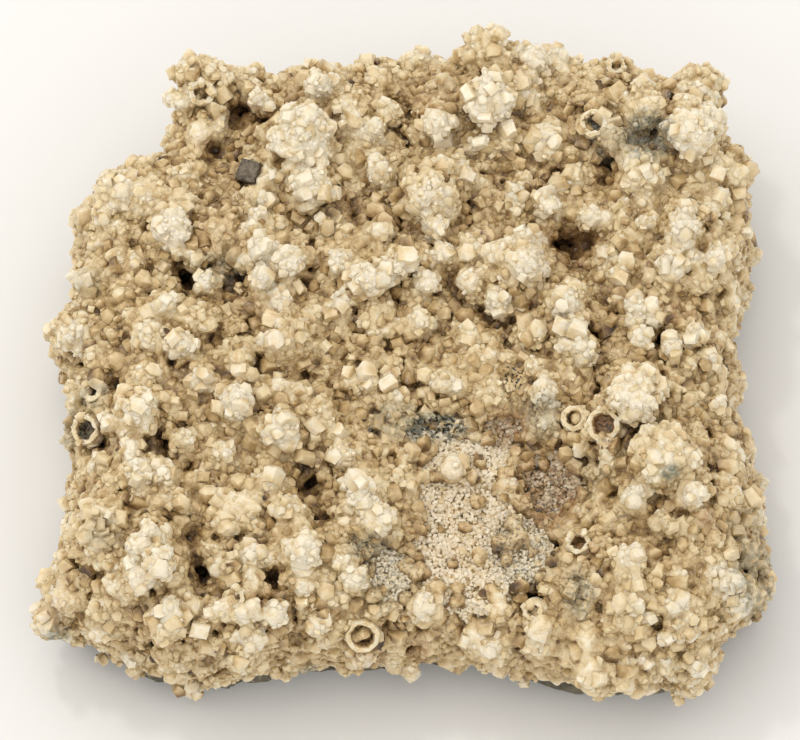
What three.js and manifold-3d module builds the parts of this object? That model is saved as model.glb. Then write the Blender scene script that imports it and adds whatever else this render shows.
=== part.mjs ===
// Harmotome specimen: a plate of host rock under a druse of intergrown harmotome crystals.
// Millimetres, +Z up. The rock rests on z = 0, and the origin is below the middle of the whole.
import * as THREE from 'three';
import { mergeVertices } from 'three/addons/utils/BufferGeometryUtils.js';
import Module from 'manifold-3d';

const wasm = await Module();
wasm.setup();

// Driving dimensions
const CROWN_HEIGHT = 33;         // middle of the druse, before the lumps on it
const CROWN_FALL_BACK = 4;       // how much lower the druse lies along its back edge
const SHOULDER_WIDTH = 13;       // from the crown's edge out to the widest line of the wall
const FRONT_WIDEST = 7;          // height of the wall's widest line at the front and at the back
const BACK_WIDEST = 24;
const LIP_HEIGHT = 5;            // lower edge of the crust, where it overhangs the rock
const LIP_INSET = 3;             // how far that edge lies in from the widest line
const POINT_SPACING = 3.7;       // between corners of the crown's net of crystal points
const WALL_SPACING = 4.6;        // the same on the wall
const POINT_RISE = 1.1;          // a crystal point above the druse, and the groove below it
const GROOVE_FALL = 1;
const WALL_RELIEF = 1.7;         // both are this much deeper on the wall
const WALL_SLOPES = [-75, -46, -20, 6, 30, 54, 78];   // of the wall's rings, from the lip to the shoulder
const WALL_SET_BACK = 1;         // room for the lumps, inside the outline at the left and right
const WALL_SET_BACK_ENDS = 2;    // and this much more at the front and the back
const ROCK_EDGE_LOW = 2.4;       // lower and upper edge of the rock's broken side
const ROCK_EDGE_HIGH = 8;
const ROCK_INSET = 3.6;          // the rock's side, in from the crust's widest line
const ROCK_FOOT_INSET = 15;      // edge of the flat foot that the rock rests on
const ROCK_TOP = 16;             // rock under the middle of the druse
const ROCK_TOP_INSET = 34;       // edge of that middle
const ROCK_ARCH = 3.2;           // how far the rock's front edge arches up off the ground
const SEAM = 0.3;                // gap between rock and crust
const LUMP_SPREAD = 1.3;         // a lump's foot, next to the radius read for it
const LUMP_LIFT = [-1.4, 0, 1, 2];
const TWIN_RADIUS = 2.7;         // crisp lumps from this radius up are twins of their own
const TWIN_GROWTH = 1.15;        // such a twin, next to the radius read for it
const KNOT_RADIUS = 4;           // lumps from this radius up are knots of many crystals
const CAST_WALL = 1.3;
const CAST_DEPTH = 3.4;
const CAVE_DEPTH = 5;
const DARK_CRYSTAL_SIDE = 4;
const SEED = 20;

// Places are read as [across, up] in a plane square to the line of sight, which looks down at this
// angle. The shift moves them back so that the whole is centred.
const SIGHT_ANGLE = THREE.MathUtils.degToRad(66);
const SIGHT_SHIFT = 6.2;
const FRONT_UP = -66.7;
const BACK_UP = 68.8;

// Outline of the whole, clockwise from the left
const OUTLINE = [
  [-64, 33], [-60, 37.5], [-55.5, 41.5], [-51, 42], [-47.5, 45], [-46.3, 52], [-42.5, 57.5],
  [-35, 59.8], [-28.5, 57.5], [-21, 61.5], [-15, 60.6], [-8, 63], [0, 63.6], [6, 61.4], [13, 64.6],
  [20, 68], [27, 63.6], [36, 61.2], [44, 62], [52, 58.6], [60, 56.4], [63, 52], [66, 44],
  [67.8, 35], [70.8, 26], [68, 17], [65, 8], [66.2, -2], [64.6, -11], [69.6, -20], [70, -29],
  [72, -39], [72.6, -44], [67, -50.6], [63.4, -57], [61.6, -64.4], [54, -65.8], [44, -66],
  [34, -65.4], [24, -63], [13, -61.2], [0, -62], [-10, -62.6], [-20, -63], [-31, -63.6],
  [-43, -65.6], [-52, -62.4], [-61, -58], [-69.4, -53], [-72.4, -50], [-69, -42], [-67, -34],
  [-65.6, -25], [-65.6, -16], [-66, -8], [-67.6, -1], [-69.6, 5], [-66, 12], [-65, 20], [-66, 28],
];

// Broad swells and hollows of the druse, as [across, up, radius, rise]
const SWELLS = [
  [-42, 54, 8, 3], [-20, 46, 9, 3], [-55, 36, 8, 2], [-44, 30, 7, 2], [-28, 22, 9, 3.5],
  [-5, 20, 8, 3], [-14, 57, 7, 2], [20, 58, 11, 4], [40, 49, 7, 3], [57, 48, 10, 5],
  [6, 33, 7, 2.5], [25, 22, 7, 4], [33, 25, 6, -6], [55, 26, 8, 3], [64, 22, 6, 2], [34, 9, 6, 4],
  [47, 9, 6, 2], [45, -5, 7, 5], [36, -13, 7, 2], [51, -18, 8, 3], [65, -43, 8, 4],
  [46, -40, 8, 2], [57, -24, 6, 3], [-54, -9, 8, 4], [-51, -38, 8, 4], [-47, 10, 7, 2],
  [-66, 7, 5, 2], [-32, -7, 7, 2], [-24, -12, 6, 2], [-8, -26, 7, 2], [-28, -50, 8, 3],
  [-20, -36, 6, 2], [-47, -48, 6, 2], [11, -30, 12, -3.5], [29, -23, 7, -6], [20, -12, 6, -4],
  [6, -11, 6, -2.5], [50, -51, 7, 2], [27, -54, 5, 2], [-35, 51, 4, -6], [-39, 44, 4, -4],
  [-43, 18, 4, -5], [-18, -23, 5, -4], [-40, -40, 4, -5], [-57, -3, 3, -4],
];

// Main lumps of crystals, as [across, up, radius, rise]: 0 lies in a recess, 3 stands proud and crisp
const LUMPS = [
  [-40.5, 56.5, 4.6, 2], [-41, 47.5, 2.8, 2], [-44.8, 39, 2.8, 1], [-57, 35.5, 3, 3], [-49, 35, 2.5, 1],
  [-39, 36, 3, 0], [-34, 58, 3, 2], [-29.5, 54, 2.5, 2], [-24, 58.5, 2.5, 1], [-17.2, 57.2, 3.2, 3],
  [-12, 52, 3.5, 2], [-4, 51.5, 2.5, 2], [-5.5, 57.5, 2.5, 0], [-8.5, 62, 2.5, 1], [3, 61.5, 2.5, 1],
  [-20.5, 46, 5.6, 2], [-6.5, 48, 2.5, 3], [-8, 43, 2.5, 1], [-4.5, 39, 2.7, 2], [-27, 38, 3.3, 2],
  [-18, 36, 4, 3], [8.5, 57, 3, 1], [17, 63, 4, 1], [24, 58.5, 3, 2], [30, 62, 2.5, 3],
  [17.5, 53.5, 4.5, 3], [6.5, 49, 3.2, 3], [15, 45.5, 2.2, 3], [20, 45.5, 3.2, 1],
  [28.5, 46.5, 3.5, 2], [11.5, 38.5, 3, 2], [5.5, 35, 4.6, 2], [22, 35, 2.5, 2], [34, 38.5, 2.5, 1],
  [42, 60.5, 3, 2], [48, 52, 4, 2], [58.5, 55, 4.5, 2], [57, 47.5, 4.5, 3], [41.5, 46, 3, 1],
  [47.5, 39, 4, 2], [64, 39, 4, 2], [-65, 28.5, 3, 1], [-60.3, 31, 2.5, 2], [-46.5, 28.5, 3.5, 3],
  [-57, 24, 2.5, 1], [-42, 22.3, 2.6, 2], [-63.5, 17.5, 3, 1], [-48.5, 12.5, 3, 2],
  [-39.5, 17.5, 3, 2], [-57, 8.5, 3, 1], [-66.3, 7, 3.3, 3], [-58.7, 1.5, 2.6, 1], [-51, 7.3, 3.4, 2],
  [-45.3, 5, 2.6, 3], [-41.5, 10, 3.5, 2], [-36, 26.5, 4, 0], [-27.5, 31.8, 3, 0], [-28.5, 24, 3, 3],
  [-23.5, 22, 3, 3], [-28.5, 18, 2.5, 3], [-24.5, 12.5, 2.5, 3], [-12.5, 21.3, 2.8, 2],
  [-4.8, 26.8, 2.8, 2], [-7.5, 18, 3.2, 3], [-0.5, 21.5, 3, 3], [-12.8, 12.2, 2.2, 3],
  [-7, 9.5, 2.6, 1], [-18.5, 11, 2.5, 2], [-23, 5, 5, 1], [-34, 5, 3.5, 1], [-9.5, 4, 3.5, 0],
  [6, 28.7, 2.5, 3], [7.5, 23, 2.8, 2], [4.5, 17.5, 2.6, 3], [13.5, 23.5, 2.8, 2], [18.5, 22.8, 2.8, 2],
  [23.5, 21.7, 3, 3], [13, 17.8, 2.8, 2], [18.5, 14.3, 2.6, 3], [28.5, 32.8, 2.6, 2], [37, 30.5, 3, 2],
  [40.2, 22.5, 2.3, 2], [32, 13.5, 2.7, 3], [34.5, 7, 2.6, 2], [36, 2.5, 2.6, 2], [26, 6.5, 3, 1],
  [13, 6, 3, 1], [3.3, 9.5, 3, 2], [16.5, 2, 2.6, 1], [43, 33, 2.6, 1], [49, 29.5, 2.6, 1],
  [56, 29, 3.2, 3], [53.5, 20.3, 3, 2], [60.5, 31, 2.5, 2], [70, 25.5, 2.4, 1], [62.2, 23, 2.6, 3],
  [43, 18.3, 2.5, 2], [46.5, 12, 2.6, 3], [47, 6.2, 2.3, 3], [58.5, 17.5, 2.6, 1], [64.5, 14, 2.3, 2],
  [57, 7, 2.4, 2], [60.2, 2.5, 2.6, 1], [53, 4.2, 2.3, 3], [-61.5, -4.7, 3.6, 2], [-65, -12, 3.2, 1],
  [-53.5, -8, 3.5, 3], [-55, -16, 2.3, 3], [-52, -2, 3, 1], [-46.5, -7, 3.2, 1], [-40.5, -2, 3, 2],
  [-44.5, -14, 3.3, 1], [-58, -23, 2.6, 2], [-53.5, -20.5, 3, 2], [-47.5, -21, 2.8, 2],
  [-45, -26.5, 2.5, 1], [-59, -31.5, 4, 1], [-66, -33, 2.5, 1], [-51, -33, 2.5, 3], [-37, -17, 3, 2],
  [-37, -31, 2.4, 2], [-33.8, -6.8, 3.3, 3], [-24.5, -3.5, 2.6, 2], [-16.8, -9, 3.4, 2],
  [-25, -12, 3.5, 3], [-12, -17, 3, 2], [-26.5, -22.5, 3, 2], [-9, -24, 3, 3], [-6, -29, 3.5, 2],
  [-7.5, -2, 2.5, 1], [0, -21.5, 3.5, 1], [-32, -26.5, 3.6, 2], [-23.5, -28.5, 3.4, 2],
  [-14, -32.5, 2.5, 1], [7.5, -2.5, 2.5, 1], [18.5, -6.5, 3.5, 1], [28.5, -10.5, 2.8, 1],
  [28, -4.5, 2.8, 3], [41, -16, 2.5, 2], [9.5, -20.3, 2.3, 2], [38, -33.5, 3, 2], [45, -5.5, 4.5, 3],
  [53, -4, 2.6, 1], [62.5, -4, 2.4, 1], [51, -18, 5.6, 1], [57.5, -24.5, 2.6, 3], [64, -16, 2.2, 2],
  [65, -26, 3.2, 1], [46, -25.3, 2.8, 3], [52, -31, 3, 1], [58, -30, 2.5, 1], [-49, -38.5, 3.2, 3],
  [-36.8, -39.5, 2.6, 2], [-67, -41.5, 2.5, 1], [-67, -46.5, 2.6, 1], [-57.5, -43, 2.5, 1],
  [-69, -49, 2.8, 3], [-57, -49, 3.6, 1], [-54, -56.5, 2.4, 3], [-46, -48.3, 3, 3],
  [-37, -48.5, 2.8, 2], [-45, -58.5, 3.5, 1], [-38, -61.5, 2.5, 1], [-30.5, -37, 3, 2],
  [-20, -36.5, 3.4, 3], [-31, -48.3, 2.6, 3], [-26.5, -48.5, 2.6, 3], [-30.5, -53.4, 2.5, 3],
  [-12.5, -38.5, 3.3, 1], [-17, -50, 3, 1], [-2.5, -47.5, 2.5, 1], [-2, -57, 3.3, 1],
  [-32, -60, 2.6, 1], [-23, -58.5, 2.5, 1], [-14.5, -58, 2.6, 1], [3.8, -47, 2.8, 2],
  [12.8, -52.5, 2.6, 2], [11, -58, 2.4, 1], [18, -53, 2.6, 2], [18.6, -58.5, 2.6, 2],
  [27.5, -55, 3.7, 1], [37, -58, 4, 1], [44.5, -38.3, 3.5, 2], [54, -46.8, 3.2, 2], [45, -47, 2.4, 1],
  [52, -53, 2.2, 3], [43.5, -59, 3.2, 3], [52, -58.5, 3, 1], [58.2, -58.5, 2.6, 3], [59, -53.5, 2.3, 1],
  [64.5, -42.5, 3, 3], [68, -37, 3, 0], [69.3, -42.6, 2.8, 3], [62, -48, 2.6, 2], [60, -62.5, 2.4, 1],
];

// Hollow casts that older crystals left, as [across, up, radius]
const CASTS = [
  [-40.8, 55.6, 1.8], [38, 49, 2], [-61.8, -4.6, 1.5], [-64, -12, 2], [34, -9.8, 1.8],
  [40, -11, 2.5], [34.7, -36, 2.2], [-8.5, -52.5, 2.6], [26.3, -48, 1.5],
];

// Caves between lumps, as [across, up, radius]
const CAVES = [
  [-32, 51.5, 2.7], [-38.7, 44, 2.2], [42, 41, 2.2], [-43.5, 18, 2.4], [-58.7, -15, 2.2],
  [-40.2, -40.5, 2.4], [-26, -41.3, 2.2], [25.3, -45, 2.2],
];

// The one dark, square crystal
const DARK_CRYSTAL = [-30.7, 39.3];

const sightSin = Math.sin(SIGHT_ANGLE);
const sightCos = Math.cos(SIGHT_ANGLE);
const evenly = new THREE.Vector3(1, 1, 1);

let draw = SEED;
function random() {
  draw = (draw + 0x6d2b79f5) | 0;
  let t = Math.imul(draw ^ (draw >>> 15), 1 | draw);
  t = (t + Math.imul(t ^ (t >>> 7), 61 | t)) ^ t;
  return ((t ^ (t >>> 14)) >>> 0) / 4294967296;
}

function between(low, high) {
  return low + (high - low) * random();
}

// Read places and heights

function depthOf(up, height) {
  return (up - height * sightCos) / sightSin + SIGHT_SHIFT;
}

function upOf(y, height) {
  return (y - SIGHT_SHIFT) * sightSin + height * sightCos;
}

function widestAt(up) {
  return THREE.MathUtils.mapLinear(up, FRONT_UP, BACK_UP, FRONT_WIDEST, BACK_WIDEST);
}

const rim = OUTLINE.map(([across, up]) => {
  const widest = widestAt(up);
  const y = depthOf(up, widest);
  return { angle: Math.atan2(y, across), radius: Math.hypot(across, y), widest };
}).sort((a, b) => a.angle - b.angle);

// The rim in one direction from the middle: its distance, and the height of its widest line
function rimToward(angle) {
  const next = Math.max(rim.findIndex((spot) => spot.angle > angle), 0);
  const after = rim[next];
  const before = rim[(next + rim.length - 1) % rim.length];
  const turn = 2 * Math.PI;
  const part = ((angle - before.angle + turn) % turn) / ((after.angle - before.angle + turn) % turn);
  return {
    radius: THREE.MathUtils.lerp(before.radius, after.radius, part),
    widest: THREE.MathUtils.lerp(before.widest, after.widest, part),
  };
}

function insetOf(x, y) {
  return rimToward(Math.atan2(y, x)).radius - Math.hypot(x, y);
}

// Height of the druse before its lumps
function druseHeight(x, y) {
  const { widest } = rimToward(Math.atan2(y, x));
  let crown = CROWN_HEIGHT - CROWN_FALL_BACK * THREE.MathUtils.smoothstep(y, 10, 70);
  const up = upOf(y, crown);
  for (const [across, swellUp, radius, rise] of SWELLS) {
    crown += rise * Math.exp(-((x - across) ** 2 + (up - swellUp) ** 2) / radius ** 2);
  }
  const shoulder = 1 - THREE.MathUtils.clamp(insetOf(x, y) / SHOULDER_WIDTH, 0, 1);
  return widest + (crown - widest) * Math.sqrt(1 - shoulder ** 2);
}

// The first point of the druse that the line of sight through a read place meets
function druseSpot(across, up) {
  const highest = CROWN_HEIGHT + 12;
  const step = 0.2;
  for (let height = highest; height > 0; height -= step) {
    const y = depthOf(up, height);
    if (insetOf(across, y) > 0 && druseHeight(across, y) >= height) {
      return new THREE.Vector3(across, y, height);
    }
  }
  const height = widestAt(up);
  return new THREE.Vector3(across, depthOf(up, height), height);
}

function druseNormal(spot) {
  const reach = 1.5;
  if (insetOf(spot.x, spot.y) < 2 * reach) {
    return new THREE.Vector3(spot.x, spot.y, 0).normalize().setZ(0.45).normalize();
  }
  const slopeX = druseHeight(spot.x + reach, spot.y) - druseHeight(spot.x - reach, spot.y);
  const slopeY = druseHeight(spot.x, spot.y + reach) - druseHeight(spot.x, spot.y - reach);
  return new THREE.Vector3(-slopeX, -slopeY, 2 * reach).normalize();
}

// Meshes and solids

function solidOf(geometry) {
  const plain = geometry.clone();
  plain.deleteAttribute('normal');
  plain.deleteAttribute('uv');
  const merged = mergeVertices(plain, 1e-4);
  const corners = merged.index.array;
  const triangles = [];
  for (let i = 0; i < corners.length; i += 3) {
    const [a, b, c] = [corners[i], corners[i + 1], corners[i + 2]];
    if (a !== b && b !== c && c !== a) {
      triangles.push(a, b, c);
    }
  }
  const mesh = new wasm.Mesh({
    numProp: 3,
    vertProperties: new Float32Array(merged.attributes.position.array),
    triVerts: new Uint32Array(triangles),
  });
  return new wasm.Manifold(mesh);
}

function geometryOf(solid) {
  const mesh = solid.getMesh();
  const geometry = new THREE.BufferGeometry();
  geometry.setAttribute('position', new THREE.BufferAttribute(mesh.vertProperties, 3));
  geometry.setIndex(new THREE.BufferAttribute(mesh.triVerts, 1));
  geometry.computeVertexNormals();
  return geometry;
}

// A closed skin through rings of as many points each, from the lowest to the highest
function skinOf(rings) {
  const count = rings[0].length;
  const points = rings.flat();
  const middleOf = (ring) => {
    const sum = ring.reduce((total, point) => total.add(point), new THREE.Vector3());
    return sum.divideScalar(count);
  };
  const triangles = [];
  for (let level = 0; level + 1 < rings.length; level += 1) {
    for (let i = 0; i < count; i += 1) {
      const here = level * count + i;
      const next = level * count + (i + 1) % count;
      triangles.push(here, next, next + count, here, next + count, here + count);
    }
  }
  const top = (rings.length - 1) * count;
  const low = points.push(middleOf(rings[0])) - 1;
  const high = points.push(middleOf(rings[rings.length - 1])) - 1;
  for (let i = 0; i < count; i += 1) {
    const next = (i + 1) % count;
    triangles.push(low, next, i, high, top + i, top + next);
  }
  const geometry = new THREE.BufferGeometry().setFromPoints(points);
  geometry.setIndex(triangles);
  return geometry;
}

// A ring of points round the rim, drawn in by an inset that may differ from point to point
function ringOf(insetAt, heightAt) {
  return rim.map((spot, i) => {
    const radius = spot.radius - insetAt(i);
    const x = radius * Math.cos(spot.angle);
    const y = radius * Math.sin(spot.angle);
    return new THREE.Vector3(x, y, heightAt(x, y, i));
  });
}

function placed(geometry, spot, outward, turn, size) {
  const aim = new THREE.Quaternion().setFromUnitVectors(new THREE.Vector3(0, 0, 1), outward);
  const spin = new THREE.Quaternion().setFromAxisAngle(new THREE.Vector3(0, 0, 1), turn);
  return geometry.clone().applyMatrix4(new THREE.Matrix4().compose(spot, aim.multiply(spin), size));
}

// Host rock: a flat foot, a rough chamfer, a broken side and a low domed top

// The front edge of the rock arches up between its two ends.
function archAt(x, y) {
  const along = THREE.MathUtils.smoothstep(Math.abs(x + 3), 8, 36);
  const front = THREE.MathUtils.smoothstep(-y, 40, 62);
  return ROCK_ARCH * (1 - along) * front;
}

function hostRock(grow) {
  const chip = (i) => 0.9 * Math.sin(i * 1.7) * Math.sin(i * 0.6 + 2);
  const ragged = (inset, depth) => (i) => inset - grow + depth * Math.sin(i * 2.3) * Math.cos(i * 0.9 + 1);
  return skinOf([
    ringOf(ragged(ROCK_FOOT_INSET, 3), () => -grow),
    ringOf(ragged(ROCK_INSET + 4.5, 1.2), (x, y, i) => 1.1 + archAt(x, y) + 0.4 * chip(i) - grow),
    ringOf(ragged(ROCK_INSET, 0.8), (x, y, i) => ROCK_EDGE_LOW + archAt(x, y) + chip(i) - grow),
    ringOf(ragged(ROCK_INSET + 0.8, 0.8), (x, y, i) => ROCK_EDGE_HIGH + chip(i + 3) + grow),
    ringOf(ragged(ROCK_TOP_INSET, 2), (x, y, i) => ROCK_TOP + chip(i + 2) + grow),
  ]);
}

// Druse: crystal points with grooves between them, over lumps where they were read

const lumps = LUMPS.map(([across, up, radius, rise]) => ({ spot: druseSpot(across, up), radius, rise }));

// Lumps on the sides and the back, below the widest line, where the line of sight doesn't reach
function addWallLumps() {
  const step = 7;
  const frontward = -0.6;
  const round = Math.floor((2 * Math.PI * Math.abs(OUTLINE[0][0])) / step);
  for (let i = 0; i < round; i += 1) {
    const angle = (i / round) * 2 * Math.PI - Math.PI;
    if (Math.sin(angle) > frontward) {
      const { radius, widest } = rimToward(angle);
      const height = THREE.MathUtils.lerp(LIP_HEIGHT + 2, widest, i % 2 ? between(0, 0.3) : between(0.7, 1));
      const spot = new THREE.Vector3(radius * Math.cos(angle), radius * Math.sin(angle), height);
      lumps.push({ spot, radius: between(3, KNOT_RADIUS - 0.1), rise: i % 2 });
    }
  }
}

addWallLumps();

function lumpLift(point) {
  let lift = -GROOVE_FALL;
  for (const { spot, radius, rise } of lumps) {
    const reach = LUMP_SPREAD * radius;
    const apart = spot.distanceTo(point) / reach;
    if (apart < 1) {
      lift = Math.max(lift, LUMP_LIFT[rise] * (1 - apart ** 2) + 0.5 * radius * Math.sqrt(1 - apart ** 2));
    }
  }
  return lift;
}

// Every third corner of a hexagonal net is a point, and the others lie in the grooves round it.
function roughened(point, outward, isPoint, relief) {
  const rise = isPoint ? between(0.7, 1.5) * POINT_RISE : -between(0.4, 1) * GROOVE_FALL;
  const sway = new THREE.Vector3(between(-1, 1), between(-1, 1), between(-0.4, 0.4)).multiplyScalar(0.6);
  return point.clone().addScaledVector(outward, lumpLift(point) + relief * rise).add(sway);
}

// A band round the wall, from the overhanging lip past the widest line and over the shoulder
function wallBand() {
  const round = rim.reduce((sum, spot) => sum + spot.radius, 0) / rim.length * 2 * Math.PI;
  const count = 3 * Math.round(round * 1.08 / WALL_SPACING / 3);
  const slopes = WALL_SLOPES.map(THREE.MathUtils.degToRad);
  const rings = slopes.map((slope, level) => Array.from({ length: count }, (_, i) => {
    const angle = ((i - level / 2) / count) * 2 * Math.PI;
    const across = new THREE.Vector3(Math.cos(angle), Math.sin(angle), 0);
    const { radius, widest } = rimToward(Math.atan2(across.y, across.x));
    const below = slope < 0;
    const setBack = WALL_SET_BACK + WALL_SET_BACK_ENDS * across.y ** 2;
    const inset = (below ? LIP_INSET : SHOULDER_WIDTH) * (1 - Math.cos(slope)) + setBack;
    const spot = across.clone().multiplyScalar(radius - inset);
    const lip = LIP_HEIGHT + 0.6 * archAt(spot.x, spot.y);
    const lowered = widest + (widest - lip) * Math.sin(slope) / Math.sin(-slopes[0]);
    spot.setZ(below ? lowered : druseHeight(spot.x, spot.y));
    const outward = across.clone().multiplyScalar(Math.cos(slope)).setZ(Math.sin(slope));
    return level === 0 ? spot : roughened(spot, outward, (i + level) % 3 === 0, WALL_RELIEF);
  }));
  const drawnIn = 0.95;
  const underCrown = 22;
  const last = rings[rings.length - 1];
  const buried = last.map((spot) => new THREE.Vector3(spot.x * drawnIn, spot.y * drawnIn, underCrown));
  return skinOf([...rings, buried]);
}

// A net of hexagons over the middle, closed below inside the rock
function crown() {
  const edgeInset = 10;
  const half = 32;
  const up = new THREE.Vector3(0, 0, 1);
  const points = [];
  const numbers = new Map();
  for (let j = -half; j <= half; j += 1) {
    for (let i = -half - Math.ceil(j / 2); i <= half - Math.ceil(j / 2); i += 1) {
      const x = POINT_SPACING * (i + j / 2);
      const y = POINT_SPACING * j * Math.sqrt(3) / 2;
      if (insetOf(x, y) > edgeInset) {
        numbers.set(`${i},${j}`, points.length);
        points.push(roughened(new THREE.Vector3(x, y, druseHeight(x, y)), up, (i - j) % 3 === 0, 1));
      }
    }
  }
  const tiles = [];
  for (const key of numbers.keys()) {
    const [i, j] = key.split(',').map(Number);
    const corner = (right, back) => numbers.get(`${i + right},${j + back}`);
    tiles.push([corner(0, 0), corner(1, 0), corner(0, 1)], [corner(1, 0), corner(1, 1), corner(0, 1)]);
  }
  return slabUnder(points, tiles.filter((tile) => !tile.includes(undefined)), ROCK_EDGE_HIGH);
}

// A closed slab: the tiles on top, their copies on a flat underside, and walls where no tile follows
function slabUnder(points, tiles, underside) {
  const count = points.length;
  const flat = points.map((point) => new THREE.Vector3(point.x, point.y, underside));
  const edges = new Set(tiles.flatMap(([a, b, c]) => [`${a},${b}`, `${b},${c}`, `${c},${a}`]));
  const triangles = tiles.flatMap(([a, b, c]) => [a, b, c, a + count, c + count, b + count]);
  for (const edge of edges) {
    const [a, b] = edge.split(',').map(Number);
    if (!edges.has(`${b},${a}`)) {
      triangles.push(b, a, a + count, b, a + count, b + count);
    }
  }
  const geometry = new THREE.BufferGeometry().setFromPoints([...points, ...flat]);
  geometry.setIndex(triangles);
  return geometry;
}

// Proud lumps: a harmotome twin, which is a square prism under a low pyramid, or a knot of them

function twinForm() {
  const profile = [[0, -0.9], [0.95, -0.7], [1, 0.42], [0, 1.05]].map(([r, z]) => new THREE.Vector2(r, z));
  return new THREE.LatheGeometry(profile, 4).rotateX(Math.PI / 2);
}

const twin = twinForm();
const knot = new THREE.IcosahedronGeometry(1, 0);

function leaning(outward, lean) {
  const push = new THREE.Vector3(between(-1, 1), between(-1, 1), between(-1, 1));
  return outward.clone().addScaledVector(push, lean).normalize();
}

function proudLump({ spot, radius }) {
  const outward = druseNormal(spot);
  const large = radius >= KNOT_RADIUS;
  const middle = spot.clone().addScaledVector(outward, 0.45 * radius);
  const stretch = new THREE.Vector3(between(0.86, 1.1), between(0.86, 1.1), between(0.95, 1.2));
  const size = stretch.multiplyScalar(radius * TWIN_GROWTH);
  const aim = leaning(outward, large ? 1 : 0.35);
  return solidOf(placed(large ? knot : twin, middle, aim, between(0, Math.PI), size));
}

// Casts, caves and the dark crystal

function onDruse(across, up, geometry, lift, size) {
  const spot = druseSpot(across, up);
  const outward = druseNormal(spot);
  spot.addScaledVector(outward, lift);
  return solidOf(placed(geometry, spot, outward, across, size));
}

function castCollar([across, up, radius]) {
  const outer = radius + CAST_WALL;
  const collar = new THREE.CylinderGeometry(outer, outer + 0.8, 6, 6).rotateX(Math.PI / 2);
  return onDruse(across, up, collar, -1, evenly);
}

function castHole([across, up, radius]) {
  const rimLift = 2;
  const hole = new THREE.CylinderGeometry(radius * 1.05, radius * 0.8, 2 * CAST_DEPTH, 6);
  return onDruse(across, up, hole.rotateX(Math.PI / 2), rimLift, evenly);
}

function cave([across, up, radius]) {
  const size = new THREE.Vector3(radius, radius, CAVE_DEPTH);
  return onDruse(across, up, new THREE.OctahedronGeometry(1, 0), 0, size);
}

function darkCrystal() {
  const side = DARK_CRYSTAL_SIDE;
  const block = new THREE.BoxGeometry(side, side, side * 1.6).rotateZ(Math.PI / 4 - DARK_CRYSTAL[0]);
  return onDruse(...DARK_CRYSTAL, block, 0, evenly);
}

function harmotomeCrust() {
  const { union } = wasm.Manifold;
  const proud = lumps.filter(({ radius, rise }) => radius >= (rise === 3 ? TWIN_RADIUS : KNOT_RADIUS));
  const druse = union([solidOf(wallBand()), solidOf(crown()), ...proud.map(proudLump)]);
  const collars = union([...CASTS.map(castCollar), darkCrystal()]);
  const hollows = union([...CASTS.map(castHole), solidOf(hostRock(SEAM))]);
  const whole = druse.subtract(union(CAVES.map(cave))).add(collars).subtract(hollows);
  return whole.decompose().sort((a, b) => b.volume() - a.volume())[0];
}

function stone(name, geometry, color, roughness) {
  const material = new THREE.MeshStandardMaterial({ color, roughness, metalness: 0 });
  const mesh = new THREE.Mesh(geometry, material);
  mesh.name = name;
  return mesh;
}

const group = new THREE.Group();
group.add(stone('matrix_rock', geometryOf(solidOf(hostRock(0))), 0x6e6c5a, 0.9));
group.add(stone('harmotome_crust', geometryOf(harmotomeCrust()), 0xd9c6a3, 0.45));

// The lumps reach out unevenly, so the whole is centred over the origin at the end.
const middle = new THREE.Box3().setFromObject(group).getCenter(new THREE.Vector3());
group.position.set(-middle.x, -middle.y, 0);

export default group;
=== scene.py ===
# The looks of a harmotome specimen: a slab of host rock under a crust of small, milky crystals.
# Lengths are in millimetres where they are named, and MM turns them into Blender's metres.
import math

import bmesh
import bpy
import numpy as np
from mathutils import Matrix, Vector
from mathutils.bvhtree import BVHTree
from mathutils.kdtree import KDTree


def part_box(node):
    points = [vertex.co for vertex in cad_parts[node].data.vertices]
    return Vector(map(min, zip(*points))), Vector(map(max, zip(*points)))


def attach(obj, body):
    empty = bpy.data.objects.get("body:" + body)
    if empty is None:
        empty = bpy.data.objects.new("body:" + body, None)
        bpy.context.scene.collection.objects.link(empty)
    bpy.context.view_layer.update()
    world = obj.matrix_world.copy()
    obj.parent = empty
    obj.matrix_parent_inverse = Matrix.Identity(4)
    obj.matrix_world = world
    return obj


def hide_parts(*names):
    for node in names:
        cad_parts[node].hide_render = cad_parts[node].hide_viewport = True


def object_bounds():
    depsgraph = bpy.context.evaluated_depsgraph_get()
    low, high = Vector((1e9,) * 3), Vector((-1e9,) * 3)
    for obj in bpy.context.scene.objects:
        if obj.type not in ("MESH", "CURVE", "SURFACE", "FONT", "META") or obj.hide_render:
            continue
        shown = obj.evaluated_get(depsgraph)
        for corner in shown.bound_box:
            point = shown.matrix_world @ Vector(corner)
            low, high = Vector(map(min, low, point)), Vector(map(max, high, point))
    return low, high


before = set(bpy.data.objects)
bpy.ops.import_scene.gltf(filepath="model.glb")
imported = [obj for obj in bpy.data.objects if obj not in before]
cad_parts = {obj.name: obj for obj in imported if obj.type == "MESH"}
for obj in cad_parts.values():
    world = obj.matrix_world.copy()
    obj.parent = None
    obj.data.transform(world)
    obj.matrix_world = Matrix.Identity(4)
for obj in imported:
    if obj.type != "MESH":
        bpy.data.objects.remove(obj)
cad_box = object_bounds()

MM = 0.001
SEED = 11

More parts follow.
